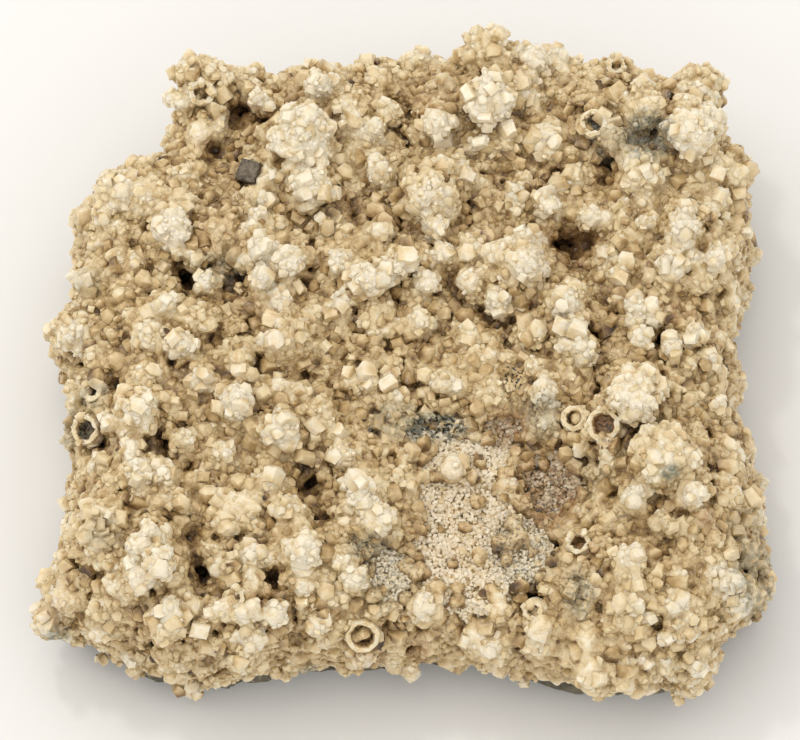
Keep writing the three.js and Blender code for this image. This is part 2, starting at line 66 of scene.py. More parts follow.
# The photograph's view: places are read as (across, up) in a plane square to the line of sight,
# in millimetres, from the middle of the specimen.
VIEW_ANGLE = math.radians(66)
VIEW_ZERO = Vector((0.38, 9.09, 0.0)) * MM
VIEW_CENTRE = Vector((-0.62, 0.19, 20.0)) * MM
VIEW_DISTANCE = 1.6
VIEW_WIDTH = 160 * MM
VIEW_RIGHT = Vector((1, 0, 0))
VIEW_UP = Vector((0, math.sin(VIEW_ANGLE), math.cos(VIEW_ANGLE)))
VIEW_BACK = Vector((0, -math.cos(VIEW_ANGLE), math.sin(VIEW_ANGLE)))
VIEW_EYE = VIEW_CENTRE + VIEW_BACK * VIEW_DISTANCE

# Crystals and lumps read one by one, as (across, up, radius, lightness). Lightness 0 is sunk and tan, 1 is
# plain, 2 is proud and pale, and 3 is the palest and proudest.
UPPER_LEFT = [
    (-40.5, 56.5, 5, 2), (-44, 54.5, 3, 2), (-38, 52, 3, 2), (-43.8, 51.8, 2, 1), (-46, 49.5, 1.5, 0),
    (-41, 47.5, 2.8, 2), (-38, 48, 2.8, 2), (-43, 42.5, 2.5, 1), (-46, 44, 2, 1), (-38.5, 41, 2, 0),
    (-44.8, 39, 2.8, 1), (-55, 42.5, 2.2, 1), (-52.5, 40.5, 2.2, 1), (-54, 37.5, 2.5, 1),
    (-51, 37, 2.2, 2), (-47, 38, 1.5, 1), (-57, 35.5, 3, 3), (-53, 34.5, 2.5, 2), (-60, 36, 2.2, 1),
    (-49, 35, 2.5, 1), (-39, 36, 3, 0), (-34, 58, 3, 2), (-36.5, 57.5, 1.2, 2), (-30.5, 56, 2.5, 2),
    (-29.5, 54, 2.5, 2), (-27, 54, 2.2, 1), (-26, 56.5, 2, 1), (-31.5, 49, 3, 0), (-27.5, 47, 3, 1),
    (-24, 58.5, 2.5, 0), (-22, 59.5, 2.2, 0), (-21, 57, 2, 1), (-17.2, 57.2, 3.2, 3), (-13, 57.5, 3, 3),
    (-20.5, 53, 2, 1), (-12, 52, 3.5, 2), (-8.5, 52.5, 3, 2), (-4, 51.5, 2.5, 2), (-5.5, 57.5, 2.5, 0),
    (-2, 57.3, 2, 1), (-0.2, 58, 1.8, 2), (-2, 54.8, 2, 1), (-8.5, 62, 2.5, 1), (-11, 61.5, 2, 1),
    (-1.5, 62.5, 2, 1), (3, 61.5, 2.5, 1), (-20.5, 46, 6, 2), (-22.5, 50, 2.2, 3), (-19, 50.5, 2.5, 3),
    (-17, 48, 2.2, 2), (-15.5, 44.5, 2.5, 1), (-14.5, 41.8, 2.2, 2), (-18, 43.5, 2, 1),
    (-11, 49.5, 3, 2), (-6.5, 48, 2.5, 3), (-9.5, 47, 2.5, 2), (-12.5, 47, 2, 1), (-8, 43, 2.5, 1),
    (-11, 43, 2.2, 1), (-6, 41, 2.2, 2), (-4.5, 39, 2.7, 2), (-2, 41.2, 2, 1), (-3.5, 45, 2, 1),
    (0, 43, 2, 1), (-30.5, 43, 2, 2), (-28, 42, 2, 1), (-27, 38, 3.3, 2), (-33.5, 37.5, 2.2, 1),
    (-30, 35, 3, 2), (-28.2, 34, 2, 3), (-33.5, 34, 2, 2), (-11.8, 38, 2.3, 2), (-10, 36, 2, 2),
    (-18, 36, 4, 3), (-22, 38.5, 2.5, 1), (-2.5, 37, 1.5, 2), (1.5, 37, 2, 1),
]
UPPER_RIGHT = [
    (8, 60, 2, 1), (8.5, 57, 3, 1), (3, 58, 2.5, 0), (13, 62, 2, 1), (17, 63, 4, 1), (18.5, 67, 2.5, 1),
    (15, 66.5, 2, 1), (23, 66, 2.5, 2), (22.5, 62, 3, 3), (26, 61.5, 2.5, 3), (24, 58.5, 3, 2),
    (24.5, 54.5, 4, 3), (22, 57, 2, 1), (30, 62, 2.5, 3), (31, 59.5, 2.5, 2), (33.5, 57.5, 2.3, 2),
    (30.5, 56.5, 2, 1), (34, 61.8, 2, 0), (17, 57.5, 2.7, 2), (17.5, 53.5, 4.5, 3), (14.5, 52, 2, 3),
    (14.5, 55, 2, 1), (11.3, 52.5, 2.5, 1), (8.5, 53.5, 1.5, 1), (3.3, 51.5, 1.5, 2),
    (6.5, 49, 3.2, 3), (9.5, 49.5, 2.5, 1), (7.5, 46, 2, 1), (9.5, 45, 2.2, 2), (7.5, 42.5, 2.2, 2),
    (20.8, 49.5, 2.2, 0), (15, 45.5, 2.2, 3), (15.3, 42.5, 2, 2), (20, 45.5, 3.2, 2), (26, 50, 2.3, 1),
    (28.7, 53, 1.8, 1), (31.5, 53, 1.6, 0), (34.5, 54, 2, 0), (28.5, 46.5, 3.5, 2), (29, 43, 3, 1),
    (12.8, 42.8, 0.8, 3), (11, 41, 2.5, 2), (11.5, 38.5, 3, 2), (3, 41, 2.5, 0), (3, 45, 2, 1),
    (5.5, 35, 5, 2), (15, 36.5, 2, 2), (18.5, 38, 1.5, 1), (22, 35, 2.5, 2), (27.5, 34.3, 2.2, 2),
    (31.3, 36.3, 2, 3), (36.5, 47.5, 5.5, 2), (33.5, 43, 2.2, 1), (37, 42, 2, 1), (34, 38.5, 2.5, 1),
    (42, 60.5, 3, 2), (37, 58.5, 2.5, 1), (45.5, 60.5, 2, 1), (48, 59.5, 2.5, 1), (51.5, 58, 2, 1),
    (43.5, 54, 3, 0), (48, 52, 4, 2), (46.5, 49.5, 2, 2), (58.5, 55, 4.5, 2), (57, 47.5, 4.5, 3),
    (62, 49.5, 3.5, 2), (60, 44.5, 3.5, 2), (48.5, 44.5, 2, 0), (51.5, 45, 2, 0), (45, 47.5, 1.5, 0),
    (41.5, 46, 3, 1), (44, 43, 2.5, 1), (47.5, 39, 4, 2), (48, 35.5, 4, 1), (58.5, 36.5, 3.5, 2),
    (64, 39, 4, 2), (66, 36, 2.5, 1), (59.5, 40.5, 2, 1),
]
MIDDLE_LEFT = [
    (-62.5, 33, 2.2, 1), (-65, 28.5, 3, 1), (-60.3, 31, 2.5, 2), (-56.5, 33.5, 3, 3), (-54, 31.5, 2.2, 2),
    (-50.5, 32, 2.2, 2), (-48, 31.8, 1.5, 1), (-43.5, 32, 3.5, 2), (-46.5, 28.5, 3.5, 3),
    (-61, 28.5, 2.5, 1), (-57.5, 28, 2.5, 1), (-53, 26.8, 2.3, 2), (-50, 26, 2, 1), (-61, 25.3, 2, 1),
    (-63, 23.5, 2, 1), (-57, 24, 2.5, 1), (-57.5, 21.8, 1.8, 2), (-53, 21.5, 2.3, 2),
    (-48.5, 23.5, 2, 1), (-48, 20.8, 2, 2), (-45.2, 24.3, 2.6, 2), (-42, 22.3, 2.6, 2),
    (-41, 26, 2.2, 1), (-63.5, 17.5, 3, 1), (-60.5, 19.5, 2.3, 1), (-57.5, 17.5, 2, 2),
    (-55, 18.3, 2, 1), (-52, 17, 2, 1), (-49.5, 18.2, 1.5, 2), (-47.5, 15.5, 2.6, 2),
    (-48.5, 12.5, 3, 2), (-45.5, 13.5, 2, 1), (-39.5, 17.5, 3, 2), (-52, 13, 2, 1), (-56.5, 15, 2, 1),
    (-60, 14.5, 1.8, 1), (-64, 12.7, 2.2, 2), (-59, 11, 2, 1), (-55, 10.5, 2, 2), (-57, 8.5, 3, 1),
    (-66.3, 7, 3.3, 3), (-60.5, 6.8, 2.6, 2), (-66.5, 11, 2.5, 1), (-69, 3, 2, 1), (-63, 3.5, 2.2, 1),
    (-66.5, 1.2, 1.8, 1), (-62.5, 1.3, 1.2, 2), (-58.7, 1.5, 2.6, 1), (-51, 7.3, 3.4, 2),
    (-54, 5, 1.8, 1), (-49, 4.2, 1.8, 1), (-50.8, 2, 1.5, 3), (-54, 2, 2.2, 0), (-45.3, 5, 2.6, 3),
    (-41.5, 10, 3.5, 2), (-37.8, 2.8, 2, 2), (-41, 1, 2, 2), (-61.5, -4.7, 3.6, 2), (-65.5, -3, 2, 1),
    (-53.5, -8, 3.5, 3), (-51.5, -6, 1, 3), (-58, -10.5, 2.3, 2), (-55.5, -12, 2.3, 3),
    (-52, -11, 2.5, 2), (-55, -16, 2.3, 3), (-57.5, -8, 1.2, 1), (-52, -2, 3, 1), (-48.3, -1, 1.8, 1),
    (-46.5, -7, 3.2, 1), (-43, -6.5, 3, 1), (-40.5, -2, 3, 2), (-44.5, -14, 3.3, 1),
    (-42.3, -10.7, 1, 2), (-40.3, -12.5, 1.9, 2), (-63, -18.5, 1.8, 2), (-65.5, -18.5, 1.4, 1),
    (-60, -18, 2, 1), (-59.8, -20, 1.2, 2), (-56.5, -18, 1.5, 1), (-63.5, -21.5, 2.2, 1),
    (-65, -23.5, 1.7, 1), (-63.3, -25, 1.2, 2), (-58, -23, 2.6, 2), (-53.5, -20.5, 3, 2),
    (-50.5, -19, 2.8, 2), (-47.5, -21, 2.8, 2), (-52.5, -24, 2.6, 2), (-48, -24.5, 2.5, 1),
    (-55.5, -26.5, 2.3, 2), (-49.5, -27, 2.3, 1), (-45, -26.5, 2.5, 1), (-61, -27.5, 3.5, 1),
    (-59, -31.5, 4, 1), (-66, -33, 2.5, 1), (-63.5, -33, 2.2, 1), (-48.3, -32.5, 1.6, 3),
    (-51, -33, 2.5, 3), (-46, -31.5, 2, 1), (-43.5, -31.5, 1.9, 0), (-43, -22, 2, 1),
    (-40.5, -21, 2, 1), (-39.5, -25, 2, 1), (-36.8, -26, 2.3, 2), (-37, -31, 2.4, 2),
    (-40, -28, 2, 1), (-38.5, -14, 1.5, 0), (-37, -17, 3, 2),
]
MIDDLE = [
    (-32, 31, 2, 1), (-36, 26.5, 4, 0), (-27.5, 31.8, 3, 0), (-31.5, 27, 2.5, 3), (-29, 29.5, 2.5, 2),
    (-26, 28, 2.5, 2), (-31.5, 21.5, 2.5, 3), (-28.5, 24, 3, 3), (-27, 21.5, 3, 3), (-23.5, 22, 3, 3),
    (-24.5, 19.5, 2.5, 3), (-28.5, 18.5, 2.5, 3), (-22.2, 15.8, 2.2, 3), (-25.5, 15.5, 2.5, 3),
    (-24.5, 12.8, 2.5, 3), (-21.5, 25.5, 3, 1), (-21.3, 28.5, 2, 0), (-24, 28.5, 2, 1),
    (-16.2, 28.3, 2.2, 2), (-13.2, 29, 1.9, 3), (-16.8, 26, 1.8, 2), (-12.5, 26.3, 2.2, 2),
    (-16.5, 23.3, 2.2, 1), (-12.5, 21.3, 2.8, 2), (-5.5, 32, 2.3, 1), (-2.5, 33, 2, 1),
    (0, 32.5, 2, 1), (-4.8, 26.8, 2.8, 2), (-10.3, 28.7, 1.6, 0), (-8, 23, 3, 0), (-7.5, 18, 3.2, 3),
    (-4.5, 18.5, 3, 3), (-0.5, 21.5, 3, 3), (-19.3, 18.3, 2, 1), (-16.5, 17.8, 1.8, 2),
    (-15, 15.5, 1.8, 2), (-12.2, 15, 1.7, 3), (-10.5, 14, 1.5, 2), (-10.5, 18, 2.2, 1),
    (-12.8, 12.2, 2.2, 3), (-13.5, 9.5, 2.5, 2), (-12.2, 7.5, 2.2, 1), (-7, 9.5, 2.6, 1),
    (-3.5, 9.3, 2, 2), (-4, 12.3, 2, 2), (-2, 8, 2.5, 1), (-1.5, 16, 1.6, 1), (-27.8, 11, 1.8, 0),
    (-28.7, 8.7, 1.7, 1), (-34.8, 11.3, 1.6, 2), (-32, 11, 1.5, 1), (-30.5, 7, 1.5, 1),
    (-18.5, 11, 2.5, 2), (-18, 8, 2.2, 2), (-17.8, 5, 2.2, 2), (-26.2, 6.2, 2.3, 3), (-23, 5, 5, 1),
    (-34, 5, 3.5, 1), (-30.3, 5, 2, 1), (-33, 2.5, 3, 1), (-9.5, 4, 3.5, 0), (-14, 4, 2, 1),
    (-15.5, 0.5, 2, 2), (-1.5, 3, 2, 1), (-2.5, 0.5, 2.5, 1), (-32, -2, 2.8, 2), (-28.6, -1.8, 1.6, 1),
    (-33.8, -6.8, 3.3, 3), (-29, -5.5, 3, 2), (-24.5, -3.5, 2.6, 2), (-23.5, -7, 3, 2),
    (-21, -5, 2.2, 2), (-17.5, -4.3, 2.2, 2), (-15.8, -1, 1.5, 2), (-16.8, -9, 3.4, 2),
    (-18.2, -13.3, 1.7, 2), (-25, -12, 3.5, 3), (-23.5, -14, 2.2, 2), (-31, -11.5, 1.6, 2),
    (-30, -13.5, 2, 1), (-34.5, -14, 2.5, 1), (-14.5, -13.5, 2.8, 1), (-12, -17, 3, 2),
    (-17.3, -18, 1.8, 2), (-24.8, -17.3, 1.3, 3), (-22.5, -19.7, 1, 3), (-21.5, -17, 2, 1),
    (-31, -19, 1.9, 2), (-27, -18, 2, 1), (-26.5, -22.5, 3, 2), (-28.8, -22, 2, 1),
    (-12.7, -21.3, 1.3, 3), (-10.5, -20, 1.5, 2), (-9, -24, 3, 3), (-6, -23, 1.5, 1), (-6, -29, 3.5, 2),
    (-4, -29.5, 2, 2), (-8, -27.5, 2.5, 2), (-5.5, -32, 2.2, 2), (-10.5, -2.5, 2, 1),
    (-7.5, -2, 2.5, 1), (-3.2, -2, 2.2, 3), (-1, -5.5, 1.8, 3), (-3.5, -6, 1.8, 2), (-3, -8.5, 1.7, 2),
    (-6, -5, 1.3, 1), (-10.2, -7.5, 1.7, 2), (-11.5, -9.5, 1.2, 1), (-9.8, -12.8, 1.3, 3),
    (-2.5, -12.5, 1.3, 3), (-6.7, -11.3, 1, 2), (-6.5, -17, 2, 2), (-4, -16, 2, 1), (0, -18, 2.5, 1),
    (0, -21.5, 3.5, 1), (-0.5, -27, 3, 0), (-32, -26.5, 3.6, 2), (-23.5, -28.5, 3.4, 2),
    (-26.3, -27.8, 1.2, 0), (-18.8, -27.5, 1.9, 1), (-21, -32, 2, 2), (-15.5, -27, 2.4, 1),
    (-13, -28, 2, 1), (-35, -31.5, 2.2, 2), (-30, -32, 2.2, 2), (-25.5, -32.5, 1.9, 1),
    (-14, -32.5, 2.5, 1), (-11.5, -30.8, 1.3, 2), (-8, -34.5, 1.5, 0), (-1.5, -33, 1.7, 2),
    (-3, -35, 1.5, 2),
]
MIDDLE_RIGHT = [
    (6, 32, 4.5, 2), (6, 28.7, 2.5, 3), (3.5, 26, 1.6, 2), (14.7, 28.5, 1.6, 2), (12, 26, 1.6, 3),
    (18.8, 28.8, 2, 0), (7.5, 23, 2.8, 2), (4.8, 22.8, 1.2, 3), (6, 20.5, 2, 2), (4.5, 17.5, 2.6, 3),
    (8.8, 17.5, 1.8, 0), (9.5, 15, 1.8, 0), (13.5, 23.5, 2.8, 2), (18.5, 22.8, 2.8, 2),
    (23.5, 25.5, 2.8, 3), (26, 24.5, 2.4, 3), (23.5, 21.7, 3, 3), (26, 20.5, 2.8, 2), (28, 22.3, 2, 1),
    (25.5, 18, 2.5, 2), (13, 17.8, 2.8, 2), (15.8, 18.8, 2.2, 3), (20.5, 18.8, 2.2, 1),
    (21.5, 16.8, 2.2, 1), (18.5, 14.3, 2.6, 3), (19, 12, 2.2, 2), (22, 32, 2.3, 2),
    (28.5, 32.8, 2.6, 2), (34, 31, 2, 1), (37, 30.5, 3, 2), (40, 29.5, 2.8, 2), (32.7, 20.4, 1.7, 1),
    (34.7, 17.5, 1.5, 2), (37, 18, 1.7, 1), (29.8, 18, 2, 0), (40.2, 22.5, 2.3, 2), (24.5, 15, 2, 1),
    (23.5, 13.8, 1.6, 2), (23.7, 10.8, 1.8, 2), (27.7, 11.5, 1.5, 1), (28.4, 9, 1.3, 2),
    (32, 13.5, 2.7, 3), (33.5, 9, 3, 2), (35, 6.5, 2.6, 2), (33, 4.5, 2.8, 2), (36, 3.5, 2.8, 2),
    (26, 6.5, 3, 1), (28, 1.3, 2.2, 2), (31, 7.2, 1, 2), (18.3, 7.8, 2, 1), (13, 6, 3, 1),
    (12, 9.5, 2.4, 1), (3.3, 9.5, 3, 2), (8, 9, 2, 1), (9.5, 5, 2.6, 1), (12, 1.8, 2, 1),
    (16.5, 2, 2.6, 1), (5.5, 3.5, 0.8, 3), (2.5, 3.5, 0.8, 3), (21, 2, 2, 1), (2.5, 13.5, 2.5, 1),
    (5.5, 13.2, 1.8, 1), (3.5, -4.5, 1.6, 3), (1.7, -7, 1.2, 2), (4.5, -9, 0.9, 2), (1.3, -9.5, 1, 3),
    (4.5, -1, 2, 1), (7.5, -2.5, 2.5, 1), (10.5, -2.7, 1.3, 3), (8.5, -8, 2, 1), (12.5, -3.5, 1.8, 0),
    (13, -0.8, 2, 1), (21.3, -3.2, 1.5, 1), (23.5, -4.5, 1.3, 1), (18.5, -6.5, 3.5, 1),
    (25.5, -7.5, 1.8, 0), (28.5, -10.5, 2.8, 1), (26, -0.5, 2.6, 2), (28, -4.5, 2.6, 3),
    (30.5, -0.5, 2, 2), (34, -13.7, 2, 2), (35.5, -15.8, 1.6, 3), (41, -15, 2.5, 2),
    (37.5, -17.5, 1.2, 0), (33, -3, 3, 1), (34, -5.5, 2, 1), (9.5, -20.3, 2.3, 2), (15.1, -19, 1.5, 2),
    (10.7, -12.8, 1.3, 2), (14, -13, 1.8, 2), (21.8, -22.8, 1, 3), (20, -25.8, 1.1, 3),
    (2, -29, 2.2, 2), (12.8, -31.8, 1, 2), (4.5, -15.5, 3, 1), (3, -21.5, 2, 1), (23, -27, 2.5, 1),
    (21.5, -18.5, 1.5, 1), (22, -31, 2, 1), (28.5, -31, 2, 0), (33, -32, 3.5, 2), (37, -33, 3, 2),
    (35, -28.3, 0.8, 3), (39, -29, 2.3, 1), (22.5, -34, 2.5, 1),
]
FAR_RIGHT = [
    (43, 33, 2.6, 1), (48.5, 33.5, 2.5, 1), (39.8, 30, 3, 2), (49, 29.5, 2.6, 1), (47.5, 26.3, 2, 2),
    (43.5, 25.3, 1.8, 1), (56.2, 32, 2, 1), (56, 29, 3.2, 3), (58, 28, 2, 2), (55.5, 25, 3.2, 2),
    (51.5, 24, 2, 1), (53.5, 20.3, 3, 2), (57, 22, 2.5, 2), (62.5, 33.5, 3, 2), (66.5, 33, 2, 1),
    (60.5, 31, 2.5, 2), (63.5, 29, 2.4, 1), (67.8, 27.3, 1.6, 3), (70, 25.5, 2.4, 1),
    (62.2, 23, 2.6, 3), (64.7, 21.8, 2.2, 3), (66.5, 24.5, 2, 1), (61.3, 20, 1.8, 2), (69, 23, 2.2, 1),
    (68, 18.3, 2, 1), (63.8, 18.3, 1.8, 0), (61, 17.3, 1.5, 1), (40.5, 19.5, 2.2, 2),
    (43, 18.3, 2.5, 2), (44, 21.5, 2, 1), (48, 19.2, 2.2, 2), (47, 15.5, 2, 1), (43, 13.5, 2, 2),
    (46.5, 12, 2.6, 3), (49.3, 10.5, 2.2, 2), (46, 9.5, 2.5, 2), (47, 6.2, 2.3, 3), (53, 14.7, 2.3, 0),
    (58.5, 17.5, 2.6, 1), (64.5, 14, 2.3, 2), (67, 13, 2, 1), (53.5, 11.3, 2.2, 0), (57, 11.5, 2.2, 1),
    (57, 7, 2.4, 2), (53, 8, 1.5, 1), (60.5, 11, 2, 1), (63.5, 9, 2.2, 1), (62.5, 6.2, 2, 2),
    (64.5, 4, 2, 1), (60.2, 2.5, 2.6, 1), (65, 1, 2, 1), (53, 4.2, 2.3, 3), (55.8, 1, 2.2, 3),
    (48.5, 2, 2, 2), (45, -0.8, 2, 2), (43, 3, 2, 1), (41, 9, 2.3, 0), (45, -5.5, 4.5, 3),
    (43, -6, 1.8, 3), (46.5, -2, 3, 2), (47.5, -8, 2, 3), (42, -2, 2, 1), (53, -4, 2.6, 1),
    (53, -7.5, 2.6, 0), (58.2, -4.8, 1.6, 2), (58.5, -7.8, 1.5, 1), (60.3, -1, 1.6, 2),
    (63.2, -1, 1, 2), (62.5, -4, 2.4, 1), (65.5, -1.5, 1.8, 1), (66, -6, 2.2, 1), (62, -7.5, 2, 2),
    (55.5, -11, 1.8, 1), (58, -11.3, 1.3, 2), (61, -10.5, 2, 1), (63.5, -12.5, 2, 1),
    (51.5, -10, 1.6, 1), (51, -18, 6, 1), (52.7, -17.2, 1.3, 3), (56.5, -18, 3, 2), (57.5, -24.5, 2.6, 3),
    (61, -15.5, 1.9, 1), (64, -16, 2.2, 2), (66.3, -17, 1.3, 2), (63.5, -22.5, 2, 2),
    (67.5, -21.5, 2, 1), (70.5, -22.5, 2, 1), (65, -26, 3.2, 1), (46, -25.3, 2.8, 3),
    (42.5, -26.5, 2, 1), (43, -22.5, 2.5, 1), (51, -27, 1.5, 0), (53.5, -24, 1.5, 2), (52, -31, 3, 1),
    (58, -30, 2.5, 1), (61, -29.5, 1.5, 1), (56.5, -31.5, 2, 1), (68.5, -29.8, 1.9, 0),
    (70.8, -33.5, 1.5, 1), (65, -30.5, 2, 1), (62, -33.5, 2, 1), (67.5, -33.5, 2.5, 0),
    (43, -31, 1.5, 1), (48, -33, 2, 1), (44.5, -14.5, 1.6, 1), (41.5, -18.5, 2, 2), (43.5, -19, 1.5, 1),
]
LOWER_LEFT = [
    (-66, -36, 2.3, 1), (-61.5, -35.5, 2.5, 1), (-58.7, -38.3, 2.3, 2), (-61.3, -39.5, 1, 3),
    (-57, -36, 2, 1), (-55.5, -38.5, 1.6, 1), (-52.5, -36, 3, 3), (-49, -38.5, 3.2, 3),
    (-52.5, -41.5, 3, 3), (-46.5, -41, 2.2, 1), (-44.3, -36.7, 1.2, 3), (-43, -38, 1.5, 0),
    (-42.8, -41.5, 1.8, 0), (-40, -36.3, 1.5, 2), (-37.5, -36, 2.3, 2), (-36.8, -39.5, 2.6, 2),
    (-38.5, -43.5, 1.7, 0), (-67, -41.5, 2.5, 1), (-63.5, -42, 2.2, 1), (-69, -44.5, 2.5, 2),
    (-67, -46.5, 2.6, 1), (-57.5, -43, 2.5, 1), (-54, -45.5, 2, 1), (-50, -46, 2, 1),
    (-71.3, -50, 2.3, 2), (-67.5, -51.5, 2.2, 2), (-65.5, -53, 1.8, 1), (-60, -47.5, 3, 2),
    (-57, -49, 3.6, 1), (-60.5, -52, 2.3, 3), (-64, -51.5, 1.6, 1), (-60, -55, 1.3, 1),
    (-53, -53, 2.6, 1), (-54, -56.5, 2.4, 3), (-57.5, -57, 2, 1), (-60.8, -57.5, 1, 2),
    (-47, -48.3, 2.6, 3), (-42.8, -47.5, 2.3, 2), (-44.5, -45.5, 1.7, 2), (-48.5, -52.5, 2, 2),
    (-46.3, -52.5, 1.8, 1), (-44.5, -52.3, 1.2, 2), (-41, -51, 1.6, 2), (-42.8, -54.5, 1.5, 2),
    (-38, -54.5, 1.7, 1), (-37, -48.5, 2.8, 2), (-50, -58, 3, 1), (-45, -58.5, 3.5, 1),
    (-40.5, -59, 3, 1), (-42.5, -63, 3, 1), (-38, -61.5, 2.5, 1), (-50, -61.5, 2.3, 1),
    (-54, -60, 1.8, 1), (-47.8, -63.2, 1.8, 0),
]
LOWER_MIDDLE = [
    (-30.5, -37, 3, 2), (-26.5, -37.5, 2.5, 1), (-30.5, -40.5, 2, 2), (-20, -36.5, 3.4, 3),
    (-25, -35.5, 2, 2), (-23.5, -41.8, 1.8, 2), (-21, -43, 2, 3), (-18.8, -43, 2, 3),
    (-16.5, -41.5, 2, 1), (-30.5, -43, 2, 2), (-28, -44.5, 2, 2), (-34.5, -46, 2.6, 1),
    (-31, -48.3, 2.6, 3), (-26.5, -48.5, 2.6, 3), (-33.5, -52.5, 1.6, 3), (-30.5, -52.8, 2.5, 3),
    (-12.5, -38.5, 3.3, 1), (-10.5, -41.5, 3, 1), (-12.5, -45, 2.3, 1), (-14.8, -46.4, 1, 3),
    (-21, -46, 2, 1), (-17, -50, 3, 1), (-17.8, -52, 1.5, 2), (-12.7, -51, 1.5, 2), (-7.5, -57.5, 2.6, 0),
    (-9.5, -48.5, 2.2, 1), (-2.5, -47.5, 2.5, 1), (-2.5, -52.5, 2.5, 1), (-2, -57, 3.3, 1),
    (-24, -54.5, 2.2, 1), (-26, -53, 2, 1), (-20, -54, 2, 1), (-32, -56, 2.2, 1), (-33, -58.5, 2.3, 1),
    (-29.5, -57.5, 2, 1), (-31, -61.5, 2, 2), (-26, -58.5, 1.7, 1), (-23, -58.5, 2.3, 1),
    (-35.5, -60, 2.3, 1), (-27, -62, 2.2, 1), (-15, -56, 2, 1), (-12.5, -62, 2.4, 1),
    (-4.5, -61.5, 2.2, 1), (0.8, -60, 1.7, 3), (3.8, -47, 2.8, 2), (4.5, -55, 2.2, 1),
    (8.5, -57.5, 2, 1), (14, -51, 2, 2), (12.8, -53.5, 2.1, 2), (11.4, -56, 2.1, 2), (10, -58.5, 2, 1),
    (14.6, -52.5, 2.2, 2), (17, -55, 2.6, 2), (19, -58, 2.6, 2), (22, -54, 2, 0), (19.5, -45.3, 1, 3),
    (17.5, -45, 2.5, 1), (19, -48, 2.5, 1), (26, -50, 3.3, 1), (27, -54, 3.5, 1), (27.5, -58.5, 3.5, 1),
    (28, -62.5, 3, 1), (28.8, -51.5, 1, 2), (28, -44, 1.6, 2), (30, -46, 2, 1), (32, -56, 2, 0),
    (37, -56, 3.6, 1), (37, -60.5, 3.6, 1), (35.5, -47.5, 1, 2), (37.5, -48.5, 1.1, 1),
    (38, -43.5, 2.2, 2), (36, -41, 2, 1), (30, -42, 1.5, 1),
]
LOWER_RIGHT = [
    (44.5, -38.3, 3.5, 2), (46.8, -43.5, 2.4, 1), (52, -37.5, 2.5, 0), (57.3, -36.3, 2.2, 2),
    (54, -42, 3, 2), (54, -46.8, 3.2, 2), (45, -47, 2.4, 1), (48.7, -49, 1.8, 3), (52, -53, 2.2, 3),
    (55, -53.7, 1, 2), (54.8, -50.5, 1.3, 2), (48.5, -54, 1.4, 2), (46.5, -53, 1.2, 1),
    (43.5, -54.5, 2.3, 2), (43.5, -59, 3, 3), (48, -57.5, 1.9, 3), (52, -58, 3, 1), (53.8, -60.5, 2, 2),
    (55, -63.5, 1.2, 3), (48.5, -61.5, 2, 2), (44.5, -63.5, 1.5, 1), (58, -52, 2, 1), (59, -55, 2, 1),
    (58.2, -58.5, 2.1, 3), (57.5, -61.5, 1.2, 3), (60, -61.5, 1.7, 1), (58, -64, 2, 1),
    (62.5, -62.8, 1.5, 2), (63.3, -57, 1.3, 2), (62.8, -60.5, 1.4, 2), (62, -51.5, 2, 2),
    (61.5, -38.5, 3, 2), (60.5, -42, 3, 2), (64.5, -42.5, 3, 3), (66, -46.5, 3, 2), (66.5, -49.5, 2.3, 2),
    (60.5, -46, 2.5, 0), (62.5, -47.5, 2, 1), (68, -37, 3, 0), (70, -43.3, 1.5, 2), (72.5, -42.5, 1.8, 0),
    (70, -46, 2.3, 0),
]
READ_CRYSTALS = (
    UPPER_LEFT + UPPER_RIGHT + MIDDLE_LEFT + MIDDLE + MIDDLE_RIGHT + FAR_RIGHT
    + LOWER_LEFT + LOWER_MIDDLE + LOWER_RIGHT
)

